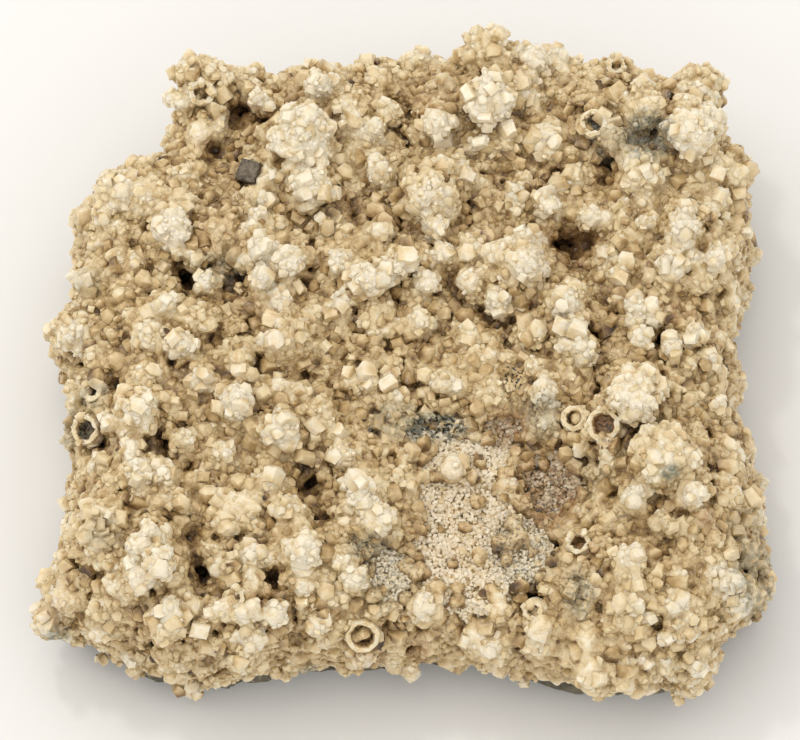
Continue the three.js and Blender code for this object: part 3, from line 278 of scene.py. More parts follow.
# Dark caves and clefts between the lumps, as (across, up, radius)
CAVES = [
    (-32, 51.5, 2.5), (-38.7, 44, 1.8), (-24.3, 42.3, 1), (-13.5, 45, 0.8), (12.5, 57.3, 1),
    (22.5, 50.5, 1), (46.3, 46, 1), (44.3, 49.3, 1), (50.5, 48.3, 1.6), (42, 41, 2), (40, 35.5, 1.2),
    (-43.5, 18, 2.3), (-38.5, 26.3, 1), (-64, 21, 1), (-38.2, 6.5, 1.5), (-46, 9.5, 1),
    (-47.5, 2.5, 1), (-34.5, 16.2, 1.2), (-32.5, 18.3, 0.9), (-20, 27, 0.9), (-18.7, 24.5, 1),
    (-17.5, 22, 1), (-15.2, 19.5, 0.9), (-9, 31.5, 0.9), (-7, 29.5, 0.9), (-25.7, 9.7, 0.8),
    (-18.5, 15.2, 0.8), (-10, 12.3, 0.9), (-8.5, 6.7, 0.7), (8.8, 18, 1.5), (7.8, 12, 0.9),
    (17.8, 9.8, 1.8), (18.5, 26.5, 1.5), (31, 24.5, 2.2), (34, 24.5, 2.4), (36.5, 25, 2), (39, 13.5, 1.5),
    (38.5, 8, 1), (44.7, 16.8, 1.2), (50.3, 6, 1.8), (51.8, 28.5, 1), (-57, -4, 2), (-58.7, -15, 2),
    (-49, -12.7, 1.7), (-46.5, -17, 1), (-45, -18.7, 1), (-43.5, -20, 1), (-42.3, -26, 1),
    (-42.5, -33, 1.8), (-36.2, -0.8, 1), (-26.8, -1, 1), (-20.5, -1.5, 1.7), (-20, -10.5, 0.8),
    (-20.3, -14.5, 0.7), (-18.5, -22.5, 2.0), (-12, -6.5, 1), (-28.5, -26.5, 1.2), (-28.5, -28.7, 1.2),
    (-27.3, -32.7, 1.1), (-17.5, -31, 1.5), (-40.2, -40.5, 2.2), (-26, -41.3, 2), (-54, -48.5, 1),
    (-52.3, -50.5, 1), (-50.5, -53, 1), (-38, -51.3, 1), (-21.5, -51, 1.5), (-13.2, -47.5, 1),
    (25.3, -45, 2), (30.7, -34.5, 1.2), (30.7, -37.5, 1.2), (44, -17.3, 1.2), (46, -13, 1),
    (59.5, -18.5, 1), (50.7, -3.5, 1), (50.3, -43, 1), (57.2, -42, 1), (49, -38, 1), (52.5, -64.5, 1),
    (14.5, -43.5, 0.7), (19, -37, 0.7), (17, -24.5, 0.7), (11.2, -28.8, 0.7), (15, -29.7, 0.7),
    (4, -34.5, 0.7), (-54, -31.8, 1), (-52.8, -56.7, 0.8), (4.5, -51.5, 1), (3.4, -54, 1.1),
    (2.7, -56.5, 1),
]

# Hollow casts, as (across, up, inner radius, how green and how rusty the lining is)
CASTS = [
    (-40.8, 55.6, 1.8, 0.2, 0.35), (38, 49, 2.0, 0.9, 0.0), (42, 60, 1.2, 0.7, 0.1),
    (-61.8, -4.6, 1.2, 0.9, 0.0), (-63, -12, 2.2, 0.9, 0.1), (34, -9.8, 1.7, 0.7, 0.6),
    (40, -11, 2.6, 0.1, 1.0), (-8.5, -52.5, 2.6, 0.1, 0.5), (26.3, -48, 1.3, 0.4, 0.2),
    (34.9, -35, 1.6, 0.0, 0.6), (-34, -46, 1.3, 0.9, 0.0),
]
DARK_CRYSTAL = (-30.7, 39.3)
DARK_CRYSTAL_SIDE = 4.3

# Where the crust is a fine sugary druse, as (across, up, half width, half height, grain radius)
SUGARY = [
    (11, -30, 10, 16, 0.5), (13, -42, 8, 8, 0.5), (-3.5, -40, 4.5, 5.5, 0.45), (23, -36, 6, 7, 0.45),
    (28.5, -23, 6, 7, 0.45), (6, -12.5, 7, 3.5, 0.5), (20, -12, 4, 4, 0.5), (13, -18, 8, 5, 0.5),
]
# Stains, as (across, up, half width, half height, strength)
GREY_GREEN = [
    (6, -11.5, 6.5, 2.8, 1.0), (-2, -10, 5, 3.5, 0.5), (48.5, 47, 5, 5, 0.75), (-7.5, -34.5, 4, 2.5, 0.6),
    (34, -44, 3, 5, 0.5), (69.5, -41, 5, 8, 0.6), (-69, -52, 2.5, 2, 0.9), (-19, -61, 3, 2.5, 0.8),
    (27, -9, 4, 4, 0.45), (52, -20, 2, 1.6, 0.9), (-36, 21, 4, 3, 0.45), (-59, -31.5, 3.5, 3.5, 0.35),
    (-3, -40.5, 5, 6, 0.25), (23, -36, 6, 7, 0.3), (41, 46, 4, 4, 0.45), (-63.5, 17.5, 3, 3, 0.3),
    (34, -21, 5, 5, 0.3), (67.5, -31, 4, 4, 0.35), (-66, -12, 3, 4, 0.5), (-62, -5, 3, 3, 0.5),
]
RUST = [
    (28.5, -24, 6, 7, 0.75), (20, -11.5, 4, 4, 0.8), (59, -29, 2, 1.5, 0.7), (53.5, 11.3, 2.5, 2, 0.6),
    (24, 61, 1.5, 1.5, 0.5), (11, -30, 10, 15, 0.16), (40.5, -13, 3, 2, 0.6), (33, 25, 7, 4, 0.4),
    (-69, -48, 2.5, 3, 0.45), (34.7, -35, 3, 2, 0.5), (2.7, -55, 2, 3, 0.6), (-8, -56, 3, 2, 0.35),
    (-36, 27, 5, 5, 0.2), (-23, 5, 5, 5, 0.15), (-31.5, 51, 3.5, 3, 0.35), (5, 56, 5, 4, 0.2),
]
BLACK_SPECKS = [
    (6, -11.5, 6, 2.4, 1.0), (21.5, -1.5, 2.6, 2.4, 1.0), (40, -11, 3, 3, 0.8), (22, -35, 6, 7, 0.55),
    (-3, -41, 5, 6, 0.45), (49, 47, 4, 4, 0.6), (28, -25, 5, 6, 0.5), (26, -5.5, 2, 4, 0.6),
    (-8, -34.5, 4, 2, 0.5), (34, -43, 3, 4, 0.5), (20, -11, 4, 4, 0.4),
]

dice = np.random.default_rng(SEED)


def only(piece):
    """Makes the piece the one that is selected and worked on."""
    bpy.ops.object.select_all(action="DESELECT")
    piece.select_set(True)
    bpy.context.view_layer.objects.active = piece
    return piece


def apply_modifier(piece, kind, **settings):
    only(piece)
    modifier = piece.modifiers.new(kind.title(), kind)
    for name, value in settings.items():
        setattr(modifier, name, value)
    bpy.ops.object.modifier_apply(modifier=modifier.name)


def copy_of_node(node, name):
    """A merged copy of a solid from the frame, as a piece of its own."""
    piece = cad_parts[node].copy()
    piece.data = piece.data.copy()
    piece.name = name
    for key in list(piece.keys()):
        del piece[key]
    piece.parent = None
    piece.data.materials.clear()
    bpy.context.scene.collection.objects.link(piece)
    only(piece)
    bpy.ops.object.mode_set(mode="EDIT")
    bpy.ops.mesh.select_all(action="SELECT")
    bpy.ops.mesh.remove_doubles(threshold=0.001 * MM)
    bpy.ops.object.mode_set(mode="OBJECT")
    return piece


def pick(kind, test):
    """Selects those faces, edges or vertices of the mesh in edit mode that pass the test."""
    bpy.ops.mesh.select_mode(type={"faces": "FACE", "edges": "EDGE", "verts": "VERT"}[kind])
    bpy.ops.mesh.select_all(action="DESELECT")
    mesh = bpy.context.object.data
    form = bmesh.from_edit_mesh(mesh)
    for item in getattr(form, kind):
        item.select_set(bool(test(item)))
    form.select_flush_mode()
    bmesh.update_edit_mesh(mesh)


def corners_of(mesh):
    corners = np.empty(len(mesh.vertices) * 3)
    mesh.vertices.foreach_get("co", corners)
    return corners.reshape(-1, 3)


def normals_of(mesh):
    normals = np.empty(len(mesh.vertices) * 3)
    mesh.vertices.foreach_get("normal", normals)
    return normals.reshape(-1, 3)


def reading_of(points):
    """Where points in the frame lie in the photograph's plane, as (across, up) in millimetres."""
    moved = np.asarray(points) - np.array(VIEW_ZERO)
    return np.stack([moved @ np.array(VIEW_RIGHT), moved @ np.array(VIEW_UP)], axis=-1) / MM


def share_in(zones, places):
    """How strongly each place lies in a list of soft-edged oval zones."""
    share = np.zeros(len(places))
    for across, up, half_width, half_height, strength in zones:
        far = ((places[:, 0] - across) / half_width) ** 2 + ((places[:, 1] - up) / half_height) ** 2
        share = np.maximum(share, strength * np.clip(1.6 - far, 0, 1))
    return share


def tree_of(piece):
    mesh = piece.data
    return BVHTree.FromPolygons([v.co for v in mesh.vertices], [p.vertices for p in mesh.polygons])


def calm_form():
    """The crust without its points and grooves, which says how proud a place lies and which way is out."""
    calm = copy_of_node("harmotome_crust", "calm_form")
    apply_modifier(calm, "REMESH", mode="VOXEL", voxel_size=2.2 * MM)
    apply_modifier(calm, "SMOOTH", factor=0.9, iterations=14)
    tree = tree_of(calm)
    bpy.data.objects.remove(calm)
    return tree


# Every piece of the crust carries a colour attribute: red is how pale the place is, which holds the
# crystals' own tone together with painted light on tips and proud places and painted shade on crystal feet,
# sunk places and caves; green how grey-green, blue how rusty, and alpha how many black specks it has.
def tone_and_shade_at(points, paleness, ways_out):
    """The colour attribute for places on the crust, whose paleness carries painted light and shade. The read
    stains lie only on what faces the reader.
    """
    places = reading_of(points)
    facing = np.clip(np.asarray(ways_out) @ np.array(VIEW_BACK) * 4 + 0.6, 0, 1)
    return np.stack([
        np.clip(paleness, 0, 1),
        share_in(GREY_GREEN, places) * facing,
        share_in(RUST, places) * facing,
        share_in(BLACK_SPECKS, places) * facing,
    ], axis=-1)


def paint_tone_and_shade(mesh, tone_and_shade):
    attribute = mesh.attributes.new("tone_and_shade", "FLOAT_COLOR", "POINT")
    attribute.data.foreach_set("color", tone_and_shade.astype(np.float32).ravel())


BED_VOXEL = 1.3                  # the crust's own surface, under the crystals
BED_SUNK = 0.9                   # how far it lies below the crystals' middles
CAVE_REACH = 1.9                 # how far round a cave the bed sinks, next to the cave's radius
CAVE_FALL = 3.1                  # how deep the bed sinks there, next to the same


def druse_bed():
    """The ground mass that the crystals stand on, with the caves pressed into it along the line of sight."""
    bed = copy_of_node("harmotome_crust", "druse_bed")
    apply_modifier(bed, "REMESH", mode="VOXEL", voxel_size=BED_VOXEL * MM)
    apply_modifier(bed, "SMOOTH", factor=0.5, iterations=2)
    mesh = bed.data
    points = corners_of(mesh)
    normals = normals_of(mesh)
    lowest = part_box("matrix_rock")[1].z * 0.3
    outer = np.clip((points[:, 2] - lowest) / (4 * MM), 0, 1)[:, None]
    points = points - normals * BED_SUNK * MM * outer
    places = reading_of(points)
    facing = normals @ np.array(VIEW_BACK) > 0.05
    fall = np.zeros(len(points))
    for across, up, radius in CAVES:
        far = np.hypot(places[:, 0] - across, places[:, 1] - up) / (radius * CAVE_REACH)
        fall = np.maximum(fall, CAVE_FALL * min(radius, 2.2) * np.clip(1 - far ** 2, 0, 1))
    fall *= facing
    points = points - np.outer(fall * MM, np.array(VIEW_BACK))
    mesh.vertices.foreach_set("co", points.ravel())
    mesh.update()
    return bed, fall


def sight_hit(tree, across, up):
    """Where the line of sight through a read place meets the crust, and which way is out there."""
    spot = VIEW_ZERO + VIEW_RIGHT * across * MM + VIEW_UP * up * MM
    spot = spot + VIEW_BACK * (VIEW_CENTRE - spot).dot(VIEW_BACK)
    point, normal, _, _ = tree.ray_cast(VIEW_EYE, (spot - VIEW_EYE).normalized())
    return (point, normal) if point is not None else None


def in_order(mesh, unit):
    """The corners, on a fine grid, and the faces, sorted by place, as edit tools leave them in any order."""
    corners = np.round(corners_of(mesh) / (GRID * unit)) * (GRID * unit)
    order = np.lexsort(corners.T)
    place = np.argsort(order)
    faces = []
    for polygon in mesh.polygons:
        face = [int(place[i]) for i in polygon.vertices]
        first = face.index(min(face))
        faces.append(face[first:] + face[:first])
    return corners[order], sorted(faces)


def put_in_order():
    """Sorts the mesh in edit mode by place, so that chance falls on the same corners in each run."""
    bpy.ops.object.mode_set(mode="OBJECT")
    mesh = bpy.context.object.data
    corners, faces = in_order(mesh, MM)
    mesh.clear_geometry()
    mesh.from_pydata(corners.tolist(), [], faces)
    mesh.update()
    bpy.ops.object.mode_set(mode="EDIT")
    bpy.ops.mesh.select_all(action="SELECT")


def shape_taken(piece):
    """The corners and faces of a modelled crystal, which is then cleared away."""
    corners, faces = in_order(piece.data, 1)
    bpy.data.objects.remove(piece)
    return {
        "corners": corners,
        "sizes": np.array([len(face) for face in faces]),
        "loops": np.array([i for face in faces for i in face]),
    }


GRID = 1 / 128                   # takes up the last digits, which vary from run to run


def start_shape(add, **settings):
    bpy.ops.object.select_all(action="DESELECT")
    add(**settings)
    bpy.ops.object.mode_set(mode="EDIT")


def finish_shape():
    bpy.ops.mesh.select_all(action="SELECT")
    bpy.ops.mesh.remove_doubles(threshold=0.001)
    bpy.ops.mesh.normals_make_consistent(inside=False)
    bpy.ops.object.mode_set(mode="OBJECT")
    return shape_taken(bpy.context.object)


def faces_up(face):
    return face.normal.z > 0.9


def faces_down(face):
    return face.normal.z < -0.9


def stands_upright(edge):
    a, b = edge.verts
    return abs(a.co.z - b.co.z) > 1 and abs(a.co.x - b.co.x) + abs(a.co.y - b.co.y) < 0.1


def raise_top(inset, rise, turn=0.0):
    """Draws the top in and up into a low blunt point."""
    pick("faces", faces_up)
    bpy.ops.mesh.inset(thickness=inset, depth=0)
    bpy.ops.transform.translate(value=(0, 0, rise))
    if turn:
        bpy.ops.transform.rotate(value=turn, orient_axis="Z", center_override=(0, 0, 0))


def taper_foot(share):
    pick("faces", faces_down)
    bpy.ops.transform.resize(value=(share, share, 1))


def stubby_block():
    """A four-sided crystal with its upright edges cut off and a low blunt point."""
    start_shape(bpy.ops.mesh.primitive_cube_add, size=1.4, scale=(1.2, 1.1, 0.85))
    pick("edges", stands_upright)
    bpy.ops.mesh.bevel(offset=0.32, segments=1)
    raise_top(0.3, 0.34)
    raise_top(0.26, 0.16)
    taper_foot(0.85)
    return finish_shape()


def crossed_twin():
    """Two crystals grown through each other: a cross in plan, with notches between its arms."""
    start_shape(bpy.ops.mesh.primitive_cylinder_add, vertices=12, radius=1.08, depth=1.2,
                rotation=(0, 0, math.radians(15)))
    pick("verts", lambda v: abs(abs(v.co.x) - abs(v.co.y)) < 0.1)
    bpy.ops.transform.resize(value=(0.74, 0.74, 1))
    raise_top(0.28, 0.36)
    taper_foot(0.9)
    return finish_shape()


def chisel_block():
    """A block whose top slopes to a blunt edge."""
    start_shape(bpy.ops.mesh.primitive_cube_add, size=1.4, scale=(1.36, 1.0, 0.72))
    pick("edges", stands_upright)
    bpy.ops.mesh.bevel(offset=0.3, segments=1)
    pick("faces", faces_up)
    bpy.ops.mesh.extrude_region_move(TRANSFORM_OT_translate={"value": (0, 0, 0.5)})
    bpy.ops.transform.resize(value=(0.8, 0.3, 1))
    taper_foot(0.9)
    return finish_shape()


def blunt_stub():
    """A stub whose top rounds over in two steps."""
    start_shape(bpy.ops.mesh.primitive_cylinder_add, vertices=7, radius=0.98, depth=1.1)
    raise_top(0.24, 0.26)
    raise_top(0.34, 0.2, 0.3)
    taper_foot(0.85)
    return finish_shape()


def rounded_nugget():
    """A rounded crystal with a few flat faces left on it."""
    start_shape(bpy.ops.mesh.primitive_uv_sphere_add, segments=9, ring_count=6, radius=1.05)
    for place, way in [
        ((0, 0, 0.84), (0.25, 0.1, 1)), ((0.8, 0, 0), (1, 0.3, 0.15)), ((-0.75, 0.1, 0), (-1, 0.4, 0.3)),
        ((0, -0.82, 0), (0.1, -1, 0.35)), ((0, 0, -0.55), (0, 0, -1)),
    ]:
        bpy.ops.mesh.select_all(action="SELECT")
        bpy.ops.mesh.bisect(plane_co=place, plane_no=way, use_fill=True, clear_outer=True)
    return finish_shape()


def sharp_block():
    """A small square crystal with a low blunt point."""
    start_shape(bpy.ops.mesh.primitive_cube_add, size=1.6, scale=(1.12, 0.95, 0.85))
    raise_top(0.34, 0.42)
    taper_foot(0.85)
    return finish_shape()


def sharp_stub():
    """A small stub whose top is cut on the slant."""
    start_shape(bpy.ops.mesh.primitive_cylinder_add, vertices=6, radius=1.0, depth=1.3)
    raise_top(0.34, 0.34, 0.25)
    bpy.ops.transform.translate(value=(0.16, 0.05, 0))
    taper_foot(0.85)
    return finish_shape()


def sharp_wedge():
    """A small crystal with a ridge along its top."""
    start_shape(bpy.ops.mesh.primitive_cube_add, size=1.5, scale=(1.3, 1.05, 0.75))
    pick("faces", faces_up)
    bpy.ops.mesh.extrude_region_move(TRANSFORM_OT_translate={"value": (0, 0, 0.55)})
    bpy.ops.transform.resize(value=(0.75, 0.25, 1))
    taper_foot(0.8)
    return finish_shape()


def sharp_nugget():
    """A small many-faced crystal, flattened on top."""
    start_shape(bpy.ops.mesh.primitive_ico_sphere_add, subdivisions=1, radius=1.1)
    pick("verts", lambda v: v.co.z > 0.9)
    bpy.ops.transform.translate(value=(0.2, 0.1, -0.25))
    bpy.ops.mesh.bevel(offset=0.35, segments=1, affect="VERTICES")
    return finish_shape()


def sugar_grain():
    start_shape(bpy.ops.mesh.primitive_cube_add, size=1.7, scale=(1, 0.8, 1))
    pick("faces", faces_up)
    bpy.ops.mesh.inset(thickness=0.4, depth=0)
    bpy.ops.transform.translate(value=(0, 0, 0.35))
    return finish_shape()


class Crystals:
    """Crystals of a few modelled shapes, each placed, turned and toned by itself, that become one piece."""

    def __init__(self, name):
        self.name = name
        self.copies = {}

    def add(self, shape, middle, out, radius, length, paleness):
        spin = dice.uniform(0, 2 * math.pi)
        middle = kept_inside(middle, max(radius, length))
        self.copies.setdefault(shape, []).append((middle, out, spin, radius, length, paleness))

    def joined(self, shapes):
        """All the copies as one mesh, with each corner's paleness and the way out of its crystal."""
        corners, sizes, loops, paleness, outs = [], [], [], [], []
        total = 0
        for shape_name in sorted(self.copies):
            shape = shapes[shape_name]
            own = shape["corners"]
            up = np.clip(own[:, 2], 0, 1)
            for middle, out, spin, radius, length, pale in self.copies[shape_name]:
                turn = out.to_track_quat("Z", "Y").to_matrix() @ Matrix.Rotation(spin, 3, "Z")
                uneven = own + dice.normal(0, UNEVEN, own.shape)
                sized = uneven * np.array([radius, radius * WIDTHS[len(corners) % len(WIDTHS)], length])
                corners.append(sized @ np.array(turn).T * MM + np.array(middle))
                # A crystal's foot is darker than its tip: partly tan staining, partly painted shade where
                # crystals meet.
                paleness.append(pale - FOOT_STAIN_AND_SHADE * (1 - up) ** 1.5)
                outs.append(np.repeat(np.array([out]), len(own), axis=0))
                sizes.append(shape["sizes"])
                loops.append(shape["loops"] + total)
                total += len(own)
        corners = np.concatenate(corners)
        sizes = np.concatenate(sizes)
        loops = np.concatenate(loops)
        mesh = bpy.data.meshes.new(self.name)
        mesh.vertices.add(len(corners))
        mesh.vertices.foreach_set("co", corners.ravel())
        mesh.loops.add(len(loops))
        mesh.loops.foreach_set("vertex_index", loops)
        mesh.polygons.add(len(sizes))
        mesh.polygons.foreach_set("loop_start", np.concatenate([[0], np.cumsum(sizes)[:-1]]))
        mesh.update(calc_edges=True)
        mesh.validate()
        piece = bpy.data.objects.new(self.name, mesh)
        bpy.context.scene.collection.objects.link(piece)
        return piece, corners, np.concatenate(paleness), np.concatenate(outs)

    def crisp(self, shapes):
        """The crystals as they are, with sharp edges."""
        piece, corners, paleness, outs = self.joined(shapes)
        paint_tone_and_shade(piece.data, tone_and_shade_at(corners, paleness, outs))
        only(piece)
        bpy.ops.object.shade_smooth_by_angle(angle=math.radians(SOFT_ANGLE))
        return piece

    def fused(self, shapes, calm):
        """The crystals grown into one milky mass, each place as pale as the crystal nearest to it, with
        painted light towards its tip and on proud places and painted shade on sunk ones.
        """
        piece, _, _, _ = self.joined(shapes)
        apply_modifier(piece, "REMESH", mode="VOXEL", voxel_size=FUSE_VOXEL * MM)
        for size, height in CRINKLES:
            facets = bpy.data.textures.new("facets", "VORONOI")
            facets.noise_scale = size * MM
            facets.distance_metric = "CHEBYCHEV"
            apply_modifier(piece, "DISPLACE", texture=facets, texture_coords="LOCAL", strength=-height * MM,
                           mid_level=0.4)
        faces = 2 * len(piece.data.polygons)
        if faces > FUSED_TRIANGLES:
            apply_modifier(piece, "DECIMATE", ratio=FUSED_TRIANGLES / faces)
        everyone = [copy for name in sorted(self.copies) for copy in self.copies[name]]
        index = KDTree(len(everyone))
        for i, (middle, out, _, _, length, _) in enumerate(everyone):
            index.insert(middle + out * (0.35 * length * MM), i)
        index.balance()
        corners = corners_of(piece.data)
        paleness = np.empty(len(corners))
        for i, corner in enumerate(corners):
            spot = Vector(corner)
            _, nearest, _ = index.find(spot)
            middle, out, _, _, length, pale = everyone[nearest]
            up = (spot - middle).dot(out) / (length * MM)
            deep, _ = depth_at(calm, spot)
            # Painted light: paler towards a crystal's tip and where the mass stands proud; painted shade
            # where it is sunk.
            paleness[i] = pale + TIP_PAINTED_LIGHT * (up - 0.6) + DEPTH_PAINTED_LIGHT_AND_SHADE * (deep - 1.5)
        paint_tone_and_shade(piece.data, tone_and_shade_at(corners, paleness, normals_of(piece.data)))
        only(piece)
        bpy.ops.object.shade_smooth_by_angle(angle=math.radians(FUSED_ANGLE))
        return piece


FUSE_VOXEL = 0.48                # how finely the fused crystals are made
CRINKLES = ((1.7, 0.5), (0.8, 0.26))   # size of the small facets on them, and how far they stand out
FUSED_TRIANGLES = 100000         # in each fused piece, at most
FUSED_ANGLE = 42
# How much paler a crystal grows towards its tip: painted light.
TIP_PAINTED_LIGHT = 0.16
DEPTH_PAINTED_LIGHT_AND_SHADE = 0.095              # painted light on proud places and painted shade on sunk ones, for each millimetre that a place stands out of the calm form
WIDTHS = (1.0, 0.86, 1.1, 0.93)
UNEVEN = 0.075                   # how far each corner of a crystal strays, next to its radius
FOOT_STAIN_AND_SHADE = 0.42               # how much less pale a crystal's foot is than its tip: partly tan staining, partly painted shade
SOFT_ANGLE = 46
COMMON_SHAPES = ("stubby_block", "crossed_twin", "chisel_block", "blunt_stub", "rounded_nugget")
SHAPE_CHANCES = (0.24, 0.16, 0.16, 0.16, 0.28)
SHARP_SHAPES = ("sharp_block", "sharp_stub", "sharp_wedge", "sharp_nugget")
PROUD = 0.6                      # how far a crystal may stand out of the box of the solids


def any_shape():
    return COMMON_SHAPES[dice.choice(len(COMMON_SHAPES), p=SHAPE_CHANCES)]


def kept_inside(middle, reach):
    """The middle of a crystal, moved in where it would stand out of the box of the solids."""
    room = (reach - PROUD) * MM
    low = cad_box[0] + Vector((room, room, 0))
    high = cad_box[1] - Vector((room, room, room))
    return Vector([min(max(c, low[i]), high[i]) for i, c in enumerate(middle)])


def tilted(way, spread):
    return (way + Vector(dice.normal(0, spread, 3))).normalized()


def depth_at(calm, point):
    """How far a point stands proud of the calm form, in millimetres, and the way out there."""
    near, normal, _, _ = calm.find_nearest(point)
    return (point - near).dot(normal) / MM, normal


class Room:
    """Remembers how much of the surface each crystal takes, in a grid of cells."""

    CELL = 4 * MM

    def __init__(self):
        self.cells = {}

    def key(self, point):
        return tuple(int(math.floor(c / self.CELL)) for c in point)

    def take(self, point, radius):
        self.cells.setdefault(self.key(point), []).append((point, radius))

    def is_free(self, point, radius, closeness):
        x, y, z = self.key(point)
        for i in (x - 1, x, x + 1):
            for j in (y - 1, y, y + 1):
                for k in (z - 1, z, z + 1):
                    for other, reach in self.cells.get((i, j, k), ()):
                        if (other - point).length < closeness * (radius + reach):
                            return False
        return True


READ_TONE_AND_LIGHT = (0.5, 0.6, 0.69, 0.8)   # the paleness for each lightness that was read: partly the crystal's own tone, partly painted light on proud crystals and painted shade on sunk ones
READ_STAND = (-0.45, -0.1, 0.1, 0.25)   # how far out it stands, next to its radius
LARGEST_SINGLE = 2.6
KNOT_FROM = 2.5                  # from this radius a knot of crystals stands round a read place
KNOT_ONLY = 3.4                  # and from this one, there is no single crystal in its middle
KNOT_CROWD = 0.8                 # how many crystals a knot has, next to its radius squared
KNOT_LEAN = math.radians(78)
KNOT_SUNK = 0.72                 # how deep a knot's middle lies, next to its radius
GOLDEN_TURN = math.radians(137.5)
SIDES = ("back_left", "back_right", "front_left", "front_right")


def across_of(point):
    return "left" if point.x < VIEW_CENTRE.x else "right"


def side_of(point):
    return f"{'front' if point.y < VIEW_CENTRE.y else 'back'}_{across_of(point)}"


def near_dark_crystal(place):
    return math.hypot(place[0] - DARK_CRYSTAL[0], place[1] - DARK_CRYSTAL[1]) < 0.85 * DARK_CRYSTAL_SIDE


def on_finger(place):
    for across, up, end_across, end_up, radius in FINGERS:
        share = min(max((up - place[1]) / (up - end_up), 0), 1)
        if math.hypot(place[0] - across - (end_across - across) * share,
                      place[1] - up - (end_up - up) * share) < radius:
            return True
    return False


def near_cast(place, margin):
    return any(math.hypot(place[0] - a, place[1] - u) < r + margin for a, u, r, _, _ in CASTS)


def grow_fingers(tree, calm, room, masses):
    """Long smooth lobes that hang down the front."""
    for across, up, end_across, end_up, radius in FINGERS:
        steps = int(math.hypot(end_across - across, end_up - up) / FINGER_STEP)
        for i in range(steps + 1):
            share = i / steps
            hit = sight_hit(tree, across + (end_across - across) * share, up + (end_up - up) * share)
            if hit is None:
                continue
            point, _ = hit
            _, out = depth_at(calm, point)
            middle = point + out * (0.05 * radius * MM)
            size = radius * dice.uniform(0.84, 1.06)
            masses[side_of(middle)].add("rounded_nugget", middle, tilted(out, 0.2), size, size, 0.66)
            room.take(middle, size * MM)


def grow_read_crystals(tree, calm, room, masses):
    """The crystals read one by one: the small ones are single, and the large ones a knot of several."""
    for across, up, radius, light in READ_CRYSTALS:
        if near_dark_crystal((across, up)) or near_cast((across, up), 0.5 * radius):
            continue
        hit = sight_hit(tree, across, up)
        if hit is None:
            continue
        point, fine_out = hit
        deep, out = depth_at(calm, point)
        out = (out + fine_out * 0.5 + VIEW_BACK * 0.35).normalized()
        # Paler for a lighter reading and for standing proud: partly its own tone, partly painted light and
        # shade.
        pale = READ_TONE_AND_LIGHT[light] + 0.02 * deep + dice.normal(0, 0.04)
        if radius < KNOT_ONLY:
            size = min(radius * 0.96, LARGEST_SINGLE)
            middle = point + out * (READ_STAND[light] * size * MM)
            mass = masses[side_of(middle)]
            mass.add(any_shape(), middle, tilted(out, 0.24), size, size * dice.uniform(0.95, 1.3), pale)
            room.take(middle, size * MM)
        knots = 0 if radius < KNOT_FROM else int(round(radius ** 2 * KNOT_CROWD))
        side = out.orthogonal().normalized()
        for i in range(knots):
            lean = math.sqrt((i + 0.5) / knots) * KNOT_LEAN
            around = i * GOLDEN_TURN
            way = (out * math.cos(lean) + (Matrix.Rotation(around, 3, out) @ side) * math.sin(lean))
            size = dice.uniform(0.34, 0.5) * radius if radius < KNOT_ONLY else dice.uniform(1.3, 2.0)
            core = point + out * ((READ_STAND[light] - KNOT_SUNK) * radius * MM)
            middle = core + way * ((radius * dice.uniform(0.8, 1.16) - size * 0.7) * MM)
            masses[side_of(middle)].add(any_shape(), middle, tilted(way, 0.2), size,
                                        size * dice.uniform(0.9, 1.3), pale + dice.normal(0, 0.05))
            room.take(middle, size * MM)


def spread_points(piece, spacing):
    """Random points all over a piece, three times as many as crystals this far apart would need."""
    mesh = piece.data
    mesh.calc_loop_triangles()
    corners = corners_of(mesh)
    triangles = np.empty(len(mesh.loop_triangles) * 3, dtype=np.int64)
    mesh.loop_triangles.foreach_get("vertices", triangles)
    a, b, c = (corners[triangles.reshape(-1, 3)[:, i]] for i in range(3))
    crosses = np.cross(b - a, c - a)
    areas = np.linalg.norm(crosses, axis=1) / 2
    count = int(3 * areas.sum() / (spacing * MM) ** 2)
    chosen = dice.choice(len(areas), size=count, p=areas / areas.sum())
    s, t = dice.random(count), dice.random(count)
    flip = s + t > 1
    s[flip], t[flip] = 1 - s[flip], 1 - t[flip]
    points = a[chosen] + (b - a)[chosen] * s[:, None] + (c - a)[chosen] * t[:, None]
    normals = crosses[chosen] / np.maximum(2 * areas[chosen], 1e-12)[:, None]
    return points, normals, triangles.reshape(-1, 3)[chosen, 0]


# Each kind of crystal has its spacing, its radii, and how close its middles may come, next to the sum
# of two radii.
INFILL_SPACING = 2.1             # the small crystals that fill the gaps
INFILL_RADII = (0.95, 1.85)
INFILL_CLOSE = 0.5
CRISP_SPACING = 1.9              # the sharp crystals that stand all over the others
CRISP_RADII = (0.6, 2.1)
CRISP_CLOSE = 0.66
LARGEST_ON_WALL = 1.5
DARKEST_CRISP = 0.36             # no sharp crystal stands on what is darker than this
HIDDEN_SPACING = 3.2             # the larger ones on the sides that the photograph doesn't show
HIDDEN_RADII = (1.5, 2.7)
HIDDEN_CLOSE = 0.58
GRAIN_SPACING = 0.72             # the grains of the sugary druse
GRAIN_CLOSE = 0.44
SUGAR_CLEAR = 0.97               # the share of crystals left out on the sugary druse
SUGAR_CRISP_CLEAR = 0.95
FINGER_CLEAR = 0.85              # the share of sharp crystals left out on the smooth lobes
SEEN = 0.12                      # a surface that faces the reader more than this shows in the photograph
ROCK_CLEAR = 1.3                 # crystals stop this near the host rock


